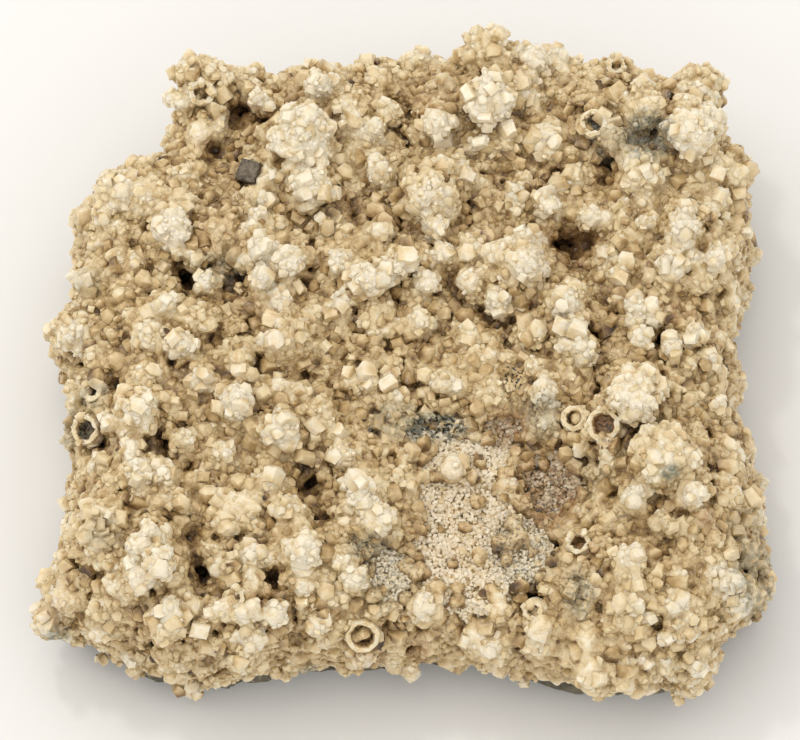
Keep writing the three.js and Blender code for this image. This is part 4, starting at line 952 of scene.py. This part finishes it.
def outer_points(bed, rock, spacing):
    """Points on the outside of the crust, with how they face the reader and where they are read."""
    points, normals, _ = spread_points(bed, spacing)
    facing = normals @ np.array(VIEW_BACK)
    places = reading_of(points)
    for point, normal, face, place in zip(points, normals, facing, places):
        spot = Vector(point)
        near, _, _, gap = rock.find_nearest(spot)
        inside = near is not None and gap < ROCK_CLEAR * MM
        if not inside and normal[2] > -0.75:
            yield spot, Vector(normal), face, place


def in_hollow(place, face):
    """Whether a read place is kept open, as a cave or a cast is."""
    if face < SEEN:
        return False
    ragged = 0.45 * math.sin(place[0] * 2.9) + 0.35 * math.cos(place[1] * 3.7)
    caves = any(math.hypot(place[0] - a, place[1] - u) < r + 0.2 + ragged for a, u, r in CAVES)
    return near_dark_crystal(place) or caves or near_cast(place, 0.8)


def sugar_at(place, face):
    """The grain radius of the sugary druse at a read place, or 0 outside it."""
    if face < SEEN:
        return 0
    for across, up, half_width, half_height, grain in SUGARY:
        edge = 1 + 0.18 * math.sin(place[0] * 1.3) * math.cos(place[1] * 1.1)
        if ((place[0] - across) / half_width) ** 2 + ((place[1] - up) / half_height) ** 2 < edge:
            return grain
    return 0


def grow_hidden(bed, rock, calm, room, masses):
    for point, normal, face, _ in outer_points(bed, rock, HIDDEN_SPACING):
        if face > SEEN:
            continue
        size = dice.uniform(*HIDDEN_RADII) * dice.uniform(0.75, 1)
        deep, out = depth_at(calm, point)
        out = (out + normal * 0.5).normalized()
        middle = point + out * ((BED_SUNK - 0.15 * size) * MM)
        if room.is_free(middle, size * MM, HIDDEN_CLOSE):
            room.take(middle, size * MM)
            # A tone picked at random from the read ones, made paler where the crystal stands proud: painted
            # light and shade.
            pale = dice.choice(READ_TONE_AND_LIGHT, p=(0.15, 0.4, 0.3, 0.15)) + 0.03 * deep
            masses[side_of(middle)].add(any_shape(), middle, tilted(out, 0.28), size,
                                        size * dice.uniform(0.95, 1.35), pale)


def grow_infill(bed, rock, calm, room, masses):
    for point, normal, face, place in outer_points(bed, rock, INFILL_SPACING):
        if in_hollow(place, face) or (sugar_at(place, face) and dice.random() < SUGAR_CLEAR):
            continue
        size = dice.uniform(*INFILL_RADII)
        deep, out = depth_at(calm, point)
        out = (out * 0.6 + normal).normalized()
        middle = point + out * ((BED_SUNK - 0.2 * size) * MM)
        if room.is_free(middle, size * MM, INFILL_CLOSE):
            room.take(middle, size * MM)
            # Paler where the crystal stands proud and darker where it is sunk: painted light and shade.
            pale = 0.58 + 0.03 * deep + dice.normal(0, 0.05)
            masses[side_of(middle)].add(any_shape(), middle, tilted(out, 0.3), size,
                                        size * dice.uniform(0.9, 1.4), pale)


def grow_crisp(piece, bed_tree, crisp, room):
    """Sharp crystals all over a piece of the crust, half sunk in it and toned like the place below, painted
    light and shade included.
    """
    tone_and_shade = np.empty(len(piece.data.vertices) * 4)
    piece.data.attributes["tone_and_shade"].data.foreach_get("color", tone_and_shade)
    tones = tone_and_shade.reshape(-1, 4)[:, 0]
    points, normals, corners = spread_points(piece, CRISP_SPACING)
    facing = normals @ np.array(VIEW_BACK)
    places = reading_of(points)
    for point, normal, corner, face, place in zip(points, normals, corners, facing, places):
        spot, out = Vector(point), Vector(normal)
        near, way, _, _ = bed_tree.find_nearest(spot)
        if (spot - near).dot(way) < -0.1 * MM or normal[2] < -0.35 or in_hollow(place, face):
            continue
        if tones[corner] < DARKEST_CRISP or (on_finger(place) and dice.random() < FINGER_CLEAR):
            continue
        if sugar_at(place, face) and dice.random() < SUGAR_CRISP_CLEAR:
            continue
        largest = CRISP_RADII[1] if normal[2] > 0.2 else LARGEST_ON_WALL
        size = CRISP_RADII[0] + (largest - CRISP_RADII[0]) * dice.random() ** 1.8
        if room.is_free(spot, size * MM, CRISP_CLOSE):
            room.take(spot, size * MM)
            crisp[across_of(spot)].add(
                dice.choice(SHARP_SHAPES), spot - out * (dice.uniform(0.35, 0.75) * size * MM),
                tilted(out, 0.35), size, size * dice.uniform(0.85, 1.25),
                tones[corner] + dice.normal(0.04, 0.04))


def grow_grains(bed, rock, calm, room, grains):
    for point, normal, face, place in outer_points(bed, rock, GRAIN_SPACING):
        grain = sugar_at(place, face)
        if not grain or in_hollow(place, face):
            continue
        size = grain * dice.uniform(0.65, 1.35)
        middle = point + normal * (BED_SUNK * 0.4 * MM)
        if room.is_free(middle, size * MM, GRAIN_CLOSE):
            room.take(middle, size * MM)
            deep, _ = depth_at(calm, point)
            # Pale grains, their own tone, made paler still where they stand proud: painted light and shade.
            pale = 1.1 + 0.05 * deep + dice.normal(0, 0.08)
            grains.add("sugar_grain", middle, tilted(normal, 0.5), size, size * dice.uniform(0.8, 1.3), pale)


# Lobes on the front, as (across, up) of the top and of the foot, and the radius
FINGERS = [
    (27, -49, 27.5, -63.5, 3.0), (36.5, -52.5, 37.2, -64, 2.6), (14, -51, 10.3, -59, 1.7),
    (17, -54.5, 16.2, -60.5, 1.5), (19.7, -53, 19.2, -60.5, 1.7), (-2, -53, -2.2, -61.5, 2.6),
    (43.5, -54, 43.4, -62.5, 2.2), (4.5, -53, 4.7, -60, 1.5), (-14, -55, -14.4, -61.5, 2.0),
    (32, -50, 32.4, -61, 1.6),
]
FINGER_STEP = 1.3

CAST_WALL = 0.85
CAST_HEIGHT = 5.0
CAST_STANDS = 2.3                # how far its rim stands out of the calm form


def hollow_cast(number, calm, reading):
    """A thin-walled open tube of crystal, left where another crystal has dissolved."""
    across, up, inner, green, rust = reading
    point, out = sight_hit(calm, across, up)
    out = (out + VIEW_BACK * 0.9).normalized()
    turn = out.to_track_quat("Z", "Y").to_euler()
    start_shape(bpy.ops.mesh.primitive_cylinder_add, vertices=9, radius=(inner + CAST_WALL) * MM,
                depth=CAST_HEIGHT * MM)
    pick("faces", faces_up)
    bpy.ops.mesh.inset(thickness=CAST_WALL * MM, depth=0)
    bpy.ops.mesh.extrude_region_move(TRANSFORM_OT_translate={"value": (0, 0, -0.5 * CAST_HEIGHT * MM)})
    bpy.ops.transform.resize(value=(0.72, 0.72, 1))
    bpy.ops.mesh.select_all(action="SELECT")
    bpy.ops.mesh.subdivide(number_cuts=1, smoothness=0.4)
    put_in_order()
    bpy.ops.transform.vertex_random(offset=0.34 * MM, seed=number)
    bpy.ops.mesh.normals_make_consistent(inside=False)
    bpy.ops.object.mode_set(mode="OBJECT")
    piece = bpy.context.object
    own = corners_of(piece.data)
    ring = np.hypot(own[:, 0], own[:, 1]) / MM
    lining = np.clip((inner + 0.5 - ring) * 2, 0, 1) * (own[:, 2] < CAST_HEIGHT * 0.46 * MM)
    piece.rotation_euler = turn
    piece.location = point + out * ((CAST_STANDS - CAST_HEIGHT / 2) * MM)
    only(piece)
    bpy.ops.object.transform_apply(location=True, rotation=True, scale=True)
    noise = dice.normal(0, 0.05, len(own))
    tone_and_shade = np.stack([0.86 + noise - 0.62 * lining, green * lining, rust * lining, 0.8 * lining], axis=-1)
    paint_tone_and_shade(piece.data, np.clip(tone_and_shade, 0, 1))
    return piece


def joined(pieces, name):
    bpy.ops.object.select_all(action="DESELECT")
    for piece in pieces:
        piece.select_set(True)
    bpy.context.view_layer.objects.active = pieces[0]
    bpy.ops.object.join()
    pieces[0].name = name
    return pieces[0]


def dark_square_crystal(calm):
    """One dark crystal with a square face, standing on its corner in the crust."""
    point, out = sight_hit(calm, *DARK_CRYSTAL)
    out = (out + VIEW_BACK).normalized()
    start_shape(bpy.ops.mesh.primitive_cube_add, size=DARK_CRYSTAL_SIDE * MM)
    bpy.ops.mesh.select_all(action="SELECT")
    bpy.ops.mesh.bevel(offset=0.22 * MM, segments=2)
    bpy.ops.mesh.select_all(action="SELECT")
    bpy.ops.mesh.subdivide(number_cuts=4)
    put_in_order()
    bpy.ops.transform.vertex_random(offset=0.12 * MM, seed=SEED)
    bpy.ops.object.mode_set(mode="OBJECT")
    piece = bpy.context.object
    piece.name = "dark_square_crystal"
    turn = out.to_track_quat("Z", "Y").to_matrix() @ Matrix.Rotation(math.radians(42), 3, "Z")
    piece.rotation_euler = turn.to_euler()
    piece.location = point + out * (0.05 * DARK_CRYSTAL_SIDE * MM)
    only(piece)
    bpy.ops.object.transform_apply(location=True, rotation=True, scale=True)
    bpy.ops.object.shade_smooth_by_angle(angle=math.radians(SOFT_ANGLE))
    return piece


ROCK_VOXEL = 1.2
ROCK_LUMPS = ((6.0, 1.3), (2.4, 1.1))   # size of the rock's lumps and chips, and how far they stand out
ROCK_MIDDLE = 0.6                # the height in their pattern that leaves the surface where it is
ROCK_FOOT = (0.4, 1.5)           # from this height the rock is rough, and within the next it grows fully so


def host_rock():
    """The host rock: a broken, gritty slab, left flat where it rests."""
    rock = copy_of_node("matrix_rock", "host_rock")
    apply_modifier(rock, "REMESH", mode="VOXEL", voxel_size=ROCK_VOXEL * MM)
    before = corners_of(rock.data)
    for size, height in ROCK_LUMPS:
        lumps = bpy.data.textures.new("rock_lumps", "VORONOI")
        lumps.noise_scale = size * MM
        apply_modifier(rock, "DISPLACE", texture=lumps, texture_coords="LOCAL", strength=height * MM,
                       mid_level=ROCK_MIDDLE)
    after = corners_of(rock.data)
    free = np.clip((before[:, 2] - ROCK_FOOT[0] * MM) / (ROCK_FOOT[1] * MM), 0, 1)[:, None]
    after = before + (after - before) * free
    after[:, 2] = np.maximum(after[:, 2], 0)
    rock.data.vertices.foreach_set("co", after.ravel())
    rock.data.update()
    only(rock)
    bpy.ops.object.shade_smooth_by_angle(angle=math.radians(30))
    return rock


# Materials. Every pattern is made of noise and cells on the object's own coordinates.
def new_material(name):
    made = bpy.data.materials.new(name)
    made.use_nodes = True
    return made, made.node_tree.nodes, made.node_tree.links, made.node_tree.nodes["Principled BSDF"]


def noise(nodes, links, size, detail=2.0, roughness=0.5):
    """Noise whose lumps are about this many millimetres across."""
    place = nodes.new("ShaderNodeTexCoord")
    made = nodes.new("ShaderNodeTexNoise")
    made.inputs["Scale"].default_value = 1 / (size * MM)
    made.inputs["Detail"].default_value = detail
    made.inputs["Roughness"].default_value = roughness
    links.new(place.outputs["Object"], made.inputs["Vector"])
    return made.outputs["Fac"]


def fitted(nodes, links, value, low, high, to_low, to_high):
    """The value's range from low to high, laid over another range."""
    made = nodes.new("ShaderNodeMapRange")
    for name, number in (("From Min", low), ("From Max", high), ("To Min", to_low), ("To Max", to_high)):
        made.inputs[name].default_value = number
    links.new(value, made.inputs["Value"])
    return made.outputs["Result"]


def cells(nodes, links, size, feature="F1"):
    """Faceted cells about this many millimetres across."""
    place = nodes.new("ShaderNodeTexCoord")
    made = nodes.new("ShaderNodeTexVoronoi")
    made.feature = feature
    made.inputs["Scale"].default_value = 1 / (size * MM)
    links.new(place.outputs["Object"], made.inputs["Vector"])
    return made


def maths(nodes, links, how, a, b, clamp=False):
    made = nodes.new("ShaderNodeMath")
    made.operation = how
    made.use_clamp = clamp
    for socket, value in zip(made.inputs, (a, b)):
        if isinstance(value, float):
            socket.default_value = value
        else:
            links.new(value, socket)
    return made.outputs[0]


def ramp(nodes, links, value, stops):
    made = nodes.new("ShaderNodeValToRGB")
    band = made.color_ramp
    while len(band.elements) < len(stops):
        band.elements.new(0.5)
    for element, (place, colour) in zip(band.elements, stops):
        element.position = place
        element.color = (*colour, 1)
    links.new(value, made.inputs["Fac"])
    return made.outputs["Color"]


def mixed(nodes, links, share, below, above):
    made = nodes.new("ShaderNodeMix")
    made.data_type = "RGBA"
    for socket, value in ((made.inputs[0], share), (made.inputs[6], below), (made.inputs[7], above)):
        if isinstance(value, tuple):
            socket.default_value = (*value, 1)
        else:
            links.new(value, socket)
    return made.outputs[2]


def bumped(nodes, links, height, distance, shader):
    made = nodes.new("ShaderNodeBump")
    made.inputs["Distance"].default_value = distance * MM
    links.new(height, made.inputs["Height"])
    links.new(made.outputs["Normal"], shader.inputs["Normal"])


CRYSTAL_BAND = [
    (0.0, (0.040, 0.022, 0.009)), (0.2, (0.17, 0.096, 0.036)), (0.4, (0.44, 0.295, 0.13)),
    (0.6, (0.67, 0.505, 0.275)), (0.8, (0.79, 0.645, 0.41)), (1.0, (0.86, 0.765, 0.59)),
]
GREY_GREEN_COLOUR = (0.23, 0.235, 0.18)
RUST_COLOUR = (0.40, 0.22, 0.09)
SPECK_COLOUR = (0.028, 0.026, 0.020)


def crystal_finish(name, gloss, frost, milkiness, mosaic, seamed):
    """Milky crystal: pale tips with painted light, tan feet that are partly stained and partly painted
    shade, cloudy inside, with the grown-in stains and specks.
    """
    made, nodes, links, shader = new_material(name)
    tone_and_shade = nodes.new("ShaderNodeAttribute")
    tone_and_shade.attribute_name = "tone_and_shade"
    parts = nodes.new("ShaderNodeSeparateColor")
    links.new(tone_and_shade.outputs["Color"], parts.inputs["Color"])
    cloud = fitted(nodes, links, noise(nodes, links, 1.9, 1), 0.3, 0.7, -0.11, 0.11)
    facet = cells(nodes, links, 1.5)
    tone = nodes.new("ShaderNodeSeparateColor")
    links.new(facet.outputs["Color"], tone.inputs["Color"])
    fleck = fitted(nodes, links, tone.outputs["Red"], 0.0, 1.0, -mosaic, mosaic)
    pale = maths(nodes, links, "ADD", parts.outputs["Red"], cloud)
    if seamed:
        seam = cells(nodes, links, 1.5, "DISTANCE_TO_EDGE")
        seam = fitted(nodes, links, seam.outputs["Distance"], 0.0, 0.09, -1.8 * mosaic, 0.0)
        pale = maths(nodes, links, "ADD", pale, seam)
    pale = maths(nodes, links, "ADD", pale, fleck, clamp=True)
    colour = ramp(nodes, links, pale, CRYSTAL_BAND)
    patchy = fitted(nodes, links, noise(nodes, links, 1.4, 1), 0.35, 0.6, 0.25, 1.0)
    green = maths(nodes, links, "MULTIPLY", parts.outputs["Green"], patchy, clamp=True)
    colour = mixed(nodes, links, green, colour, GREY_GREEN_COLOUR)
    rust = maths(nodes, links, "MULTIPLY", parts.outputs["Blue"], patchy, clamp=True)
    colour = mixed(nodes, links, rust, colour, RUST_COLOUR)
    spots = fitted(nodes, links, noise(nodes, links, 0.65, 0), 0.56, 0.62, 0.0, 1.0)
    spots = maths(nodes, links, "MULTIPLY", spots, tone_and_shade.outputs["Alpha"], clamp=True)
    colour = mixed(nodes, links, spots, colour, SPECK_COLOUR)
    links.new(colour, shader.inputs["Base Color"])
    roughness = fitted(nodes, links, tone.outputs["Green"], 0.0, 1.0, gloss - 0.12, gloss + 0.25)
    links.new(roughness, shader.inputs["Roughness"])
    shader.inputs["IOR"].default_value = 1.51
    shader.inputs["Subsurface Weight"].default_value = milkiness
    shader.inputs["Subsurface Radius"].default_value = (1.0, 0.88, 0.7)
    shader.inputs["Subsurface Scale"].default_value = 1.9 * MM
    relief = maths(nodes, links, "SUBTRACT", noise(nodes, links, 0.5, 1), facet.outputs["Distance"])
    bumped(nodes, links, relief, frost, shader)
    return made


def dark_crystal_finish():
    made, nodes, links, shader = new_material("dark_crystal")
    colour = ramp(nodes, links, noise(nodes, links, 0.9, 4, 0.65), [
        (0.3, (0.035, 0.026, 0.017)), (0.5, (0.12, 0.092, 0.06)), (0.7, (0.24, 0.19, 0.13)),
    ])
    links.new(colour, shader.inputs["Base Color"])
    shader.inputs["Roughness"].default_value = 0.5
    bumped(nodes, links, noise(nodes, links, 0.5, 4, 0.7), 0.25, shader)
    return made


def rock_finish():
    made, nodes, links, shader = new_material("host_rock")
    colour = ramp(nodes, links, noise(nodes, links, 5, 6, 0.65), [
        (0.25, (0.045, 0.040, 0.028)), (0.45, (0.115, 0.105, 0.072)), (0.6, (0.20, 0.17, 0.115)),
        (0.75, (0.33, 0.27, 0.18)),
    ])
    crumbs = fitted(nodes, links, noise(nodes, links, 0.8, 2), 0.6, 0.68, 0.0, 0.6)
    colour = mixed(nodes, links, crumbs, colour, (0.42, 0.38, 0.29))
    links.new(colour, shader.inputs["Base Color"])
    roughness = fitted(nodes, links, noise(nodes, links, 2, 3), 0.3, 0.7, 0.72, 0.95)
    links.new(roughness, shader.inputs["Roughness"])
    bumped(nodes, links, noise(nodes, links, 1.1, 6, 0.75), 0.9, shader)
    return made


def floor_finish():
    made, nodes, links, shader = new_material("pale_floor")
    colour = ramp(nodes, links, noise(nodes, links, 300, 1), [
        (0.3, (0.80, 0.79, 0.775)), (0.7, (0.83, 0.82, 0.805)),
    ])
    links.new(colour, shader.inputs["Base Color"])
    shader.inputs["Roughness"].default_value = 0.9
    return made


def wear(piece, material):
    piece.data.materials.clear()
    piece.data.materials.append(material)


def studio():
    """A pale floor, a soft window of light from behind on the left, and the photograph's camera."""
    bpy.ops.object.select_all(action="DESELECT")
    bpy.ops.mesh.primitive_plane_add(size=6)
    floor = bpy.context.object
    floor.name = "pale_floor"
    wear(floor, floor_finish())
    for name, place, size, power in LAMPS:
        lamp = bpy.data.lights.new(name, "AREA")
        lamp.shape = "DISK"
        lamp.size = size
        lamp.energy = power
        lamp.color = LAMP_COLOUR
        holder = bpy.data.objects.new(name, lamp)
        holder.location = place
        holder.rotation_euler = (VIEW_CENTRE - Vector(place)).to_track_quat("-Z", "Y").to_euler()
        bpy.context.scene.collection.objects.link(holder)
    world = bpy.data.worlds.new("studio")
    world.use_nodes = True
    world.node_tree.nodes["Background"].inputs["Color"].default_value = WORLD_COLOUR
    world.node_tree.nodes["Background"].inputs["Strength"].default_value = WORLD_LIGHT
    bpy.context.scene.world = world
    bpy.context.scene.view_settings.view_transform = "Standard"
    bpy.context.scene.cycles.diffuse_bounces = 2
    bpy.context.scene.cycles.glossy_bounces = 1
    bpy.context.scene.cycles.max_bounces = 3
    camera = bpy.data.cameras.new("camera")
    camera.sensor_width = SENSOR_WIDTH
    camera.lens = SENSOR_WIDTH * VIEW_DISTANCE / VIEW_WIDTH
    camera.clip_end = 20
    holder = bpy.data.objects.new("camera", camera)
    holder.location = VIEW_EYE
    holder.rotation_euler = VIEW_BACK.to_track_quat("Z", "Y").to_euler()
    bpy.context.scene.collection.objects.link(holder)
    bpy.context.scene.camera = holder


SENSOR_WIDTH = 36
LAMP_COLOUR = (1.0, 0.975, 0.93)
WORLD_COLOUR = (1.0, 0.985, 0.96, 1)
WORLD_LIGHT = 1.0
LAMPS = [                        # place and size in metres, and power in watts
    ("window", (-0.45, 0.3, 1.2), 1.2, 3.4),
    ("spark", (-0.38, 0.42, 1.2), 0.12, 1.8),
]


def crust():
    """The whole crust, in pieces that together stand for its solid."""
    shapes = {
        "stubby_block": stubby_block(), "crossed_twin": crossed_twin(), "chisel_block": chisel_block(),
        "blunt_stub": blunt_stub(), "rounded_nugget": rounded_nugget(), "sugar_grain": sugar_grain(),
        "sharp_block": sharp_block(), "sharp_stub": sharp_stub(), "sharp_wedge": sharp_wedge(),
        "sharp_nugget": sharp_nugget(),
    }
    rock = tree_of(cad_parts["matrix_rock"])
    calm = calm_form()
    bare = copy_of_node("harmotome_crust", "bare")
    tree = tree_of(bare)
    bpy.data.objects.remove(bare)
    bed, fall = druse_bed()
    room = Room()
    masses = {side: Crystals(f"crystals_{side}") for side in SIDES}
    crisp = {side: Crystals(f"crisp_crystals_{side}") for side in ("left", "right")}
    grains = Crystals("sugary_druse")
    grow_read_crystals(tree, calm, room, masses)
    grow_fingers(tree, calm, room, masses)
    grow_hidden(bed, rock, calm, room, masses)
    grow_infill(bed, rock, calm, room, masses)
    grow_grains(bed, rock, calm, room, grains)
    points = corners_of(bed.data)
    depths = np.array([depth_at(calm, Vector(point))[0] for point in points])
    # The bed is paler where it stands proud and darker where it is sunk, most of all in the caves: painted
    # light and painted shade; on the sugary druse it is paler, its own tone.
    pale = 0.44 + 0.05 * depths - 0.18 * fall + 0.7 * share_in(SUGARY, reading_of(points))
    paint_tone_and_shade(bed.data, tone_and_shade_at(points, pale, normals_of(bed.data)))
    only(bed)
    bpy.ops.object.shade_smooth_by_angle(angle=math.radians(50))
    milky = crystal_finish("milky_crystal", 0.26, 0.3, 0.45, 0.07, True)
    glassy = crystal_finish("glassy_crystal", 0.17, 0.14, 0.25, 0.03, False)
    dull = crystal_finish("ground_mass", 0.45, 0.5, 0.0, 0.1, True)
    sugary = crystal_finish("sugary_crystal", 0.3, 0.1, 0.0, 0.04, False)
    wear(bed, dull)
    grown = [bed]
    for mass in masses.values():
        grown.append(mass.fused(shapes, calm))
        wear(grown[-1], milky)
    casts = [hollow_cast(i, calm, reading) for i, reading in enumerate(CASTS)]
    cast = joined(casts, "hollow_casts")
    wear(cast, milky)
    bed_tree = tree_of(bed)
    crisp_room = Room()
    for piece in (*grown, cast):
        grow_crisp(piece, bed_tree, crisp, crisp_room)
    for crystals, finish in ((crisp["left"], glassy), (crisp["right"], glassy), (grains, sugary)):
        grown.append(crystals.crisp(shapes))
        wear(grown[-1], finish)
    dark = dark_square_crystal(calm)
    wear(dark, dark_crystal_finish())
    for piece in (*grown, cast, dark):
        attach(piece, "root")
        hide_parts("harmotome_crust")


def rock():
    piece = host_rock()
    wear(piece, rock_finish())
    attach(piece, "root")
    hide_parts("matrix_rock")


crust()
rock()
studio()
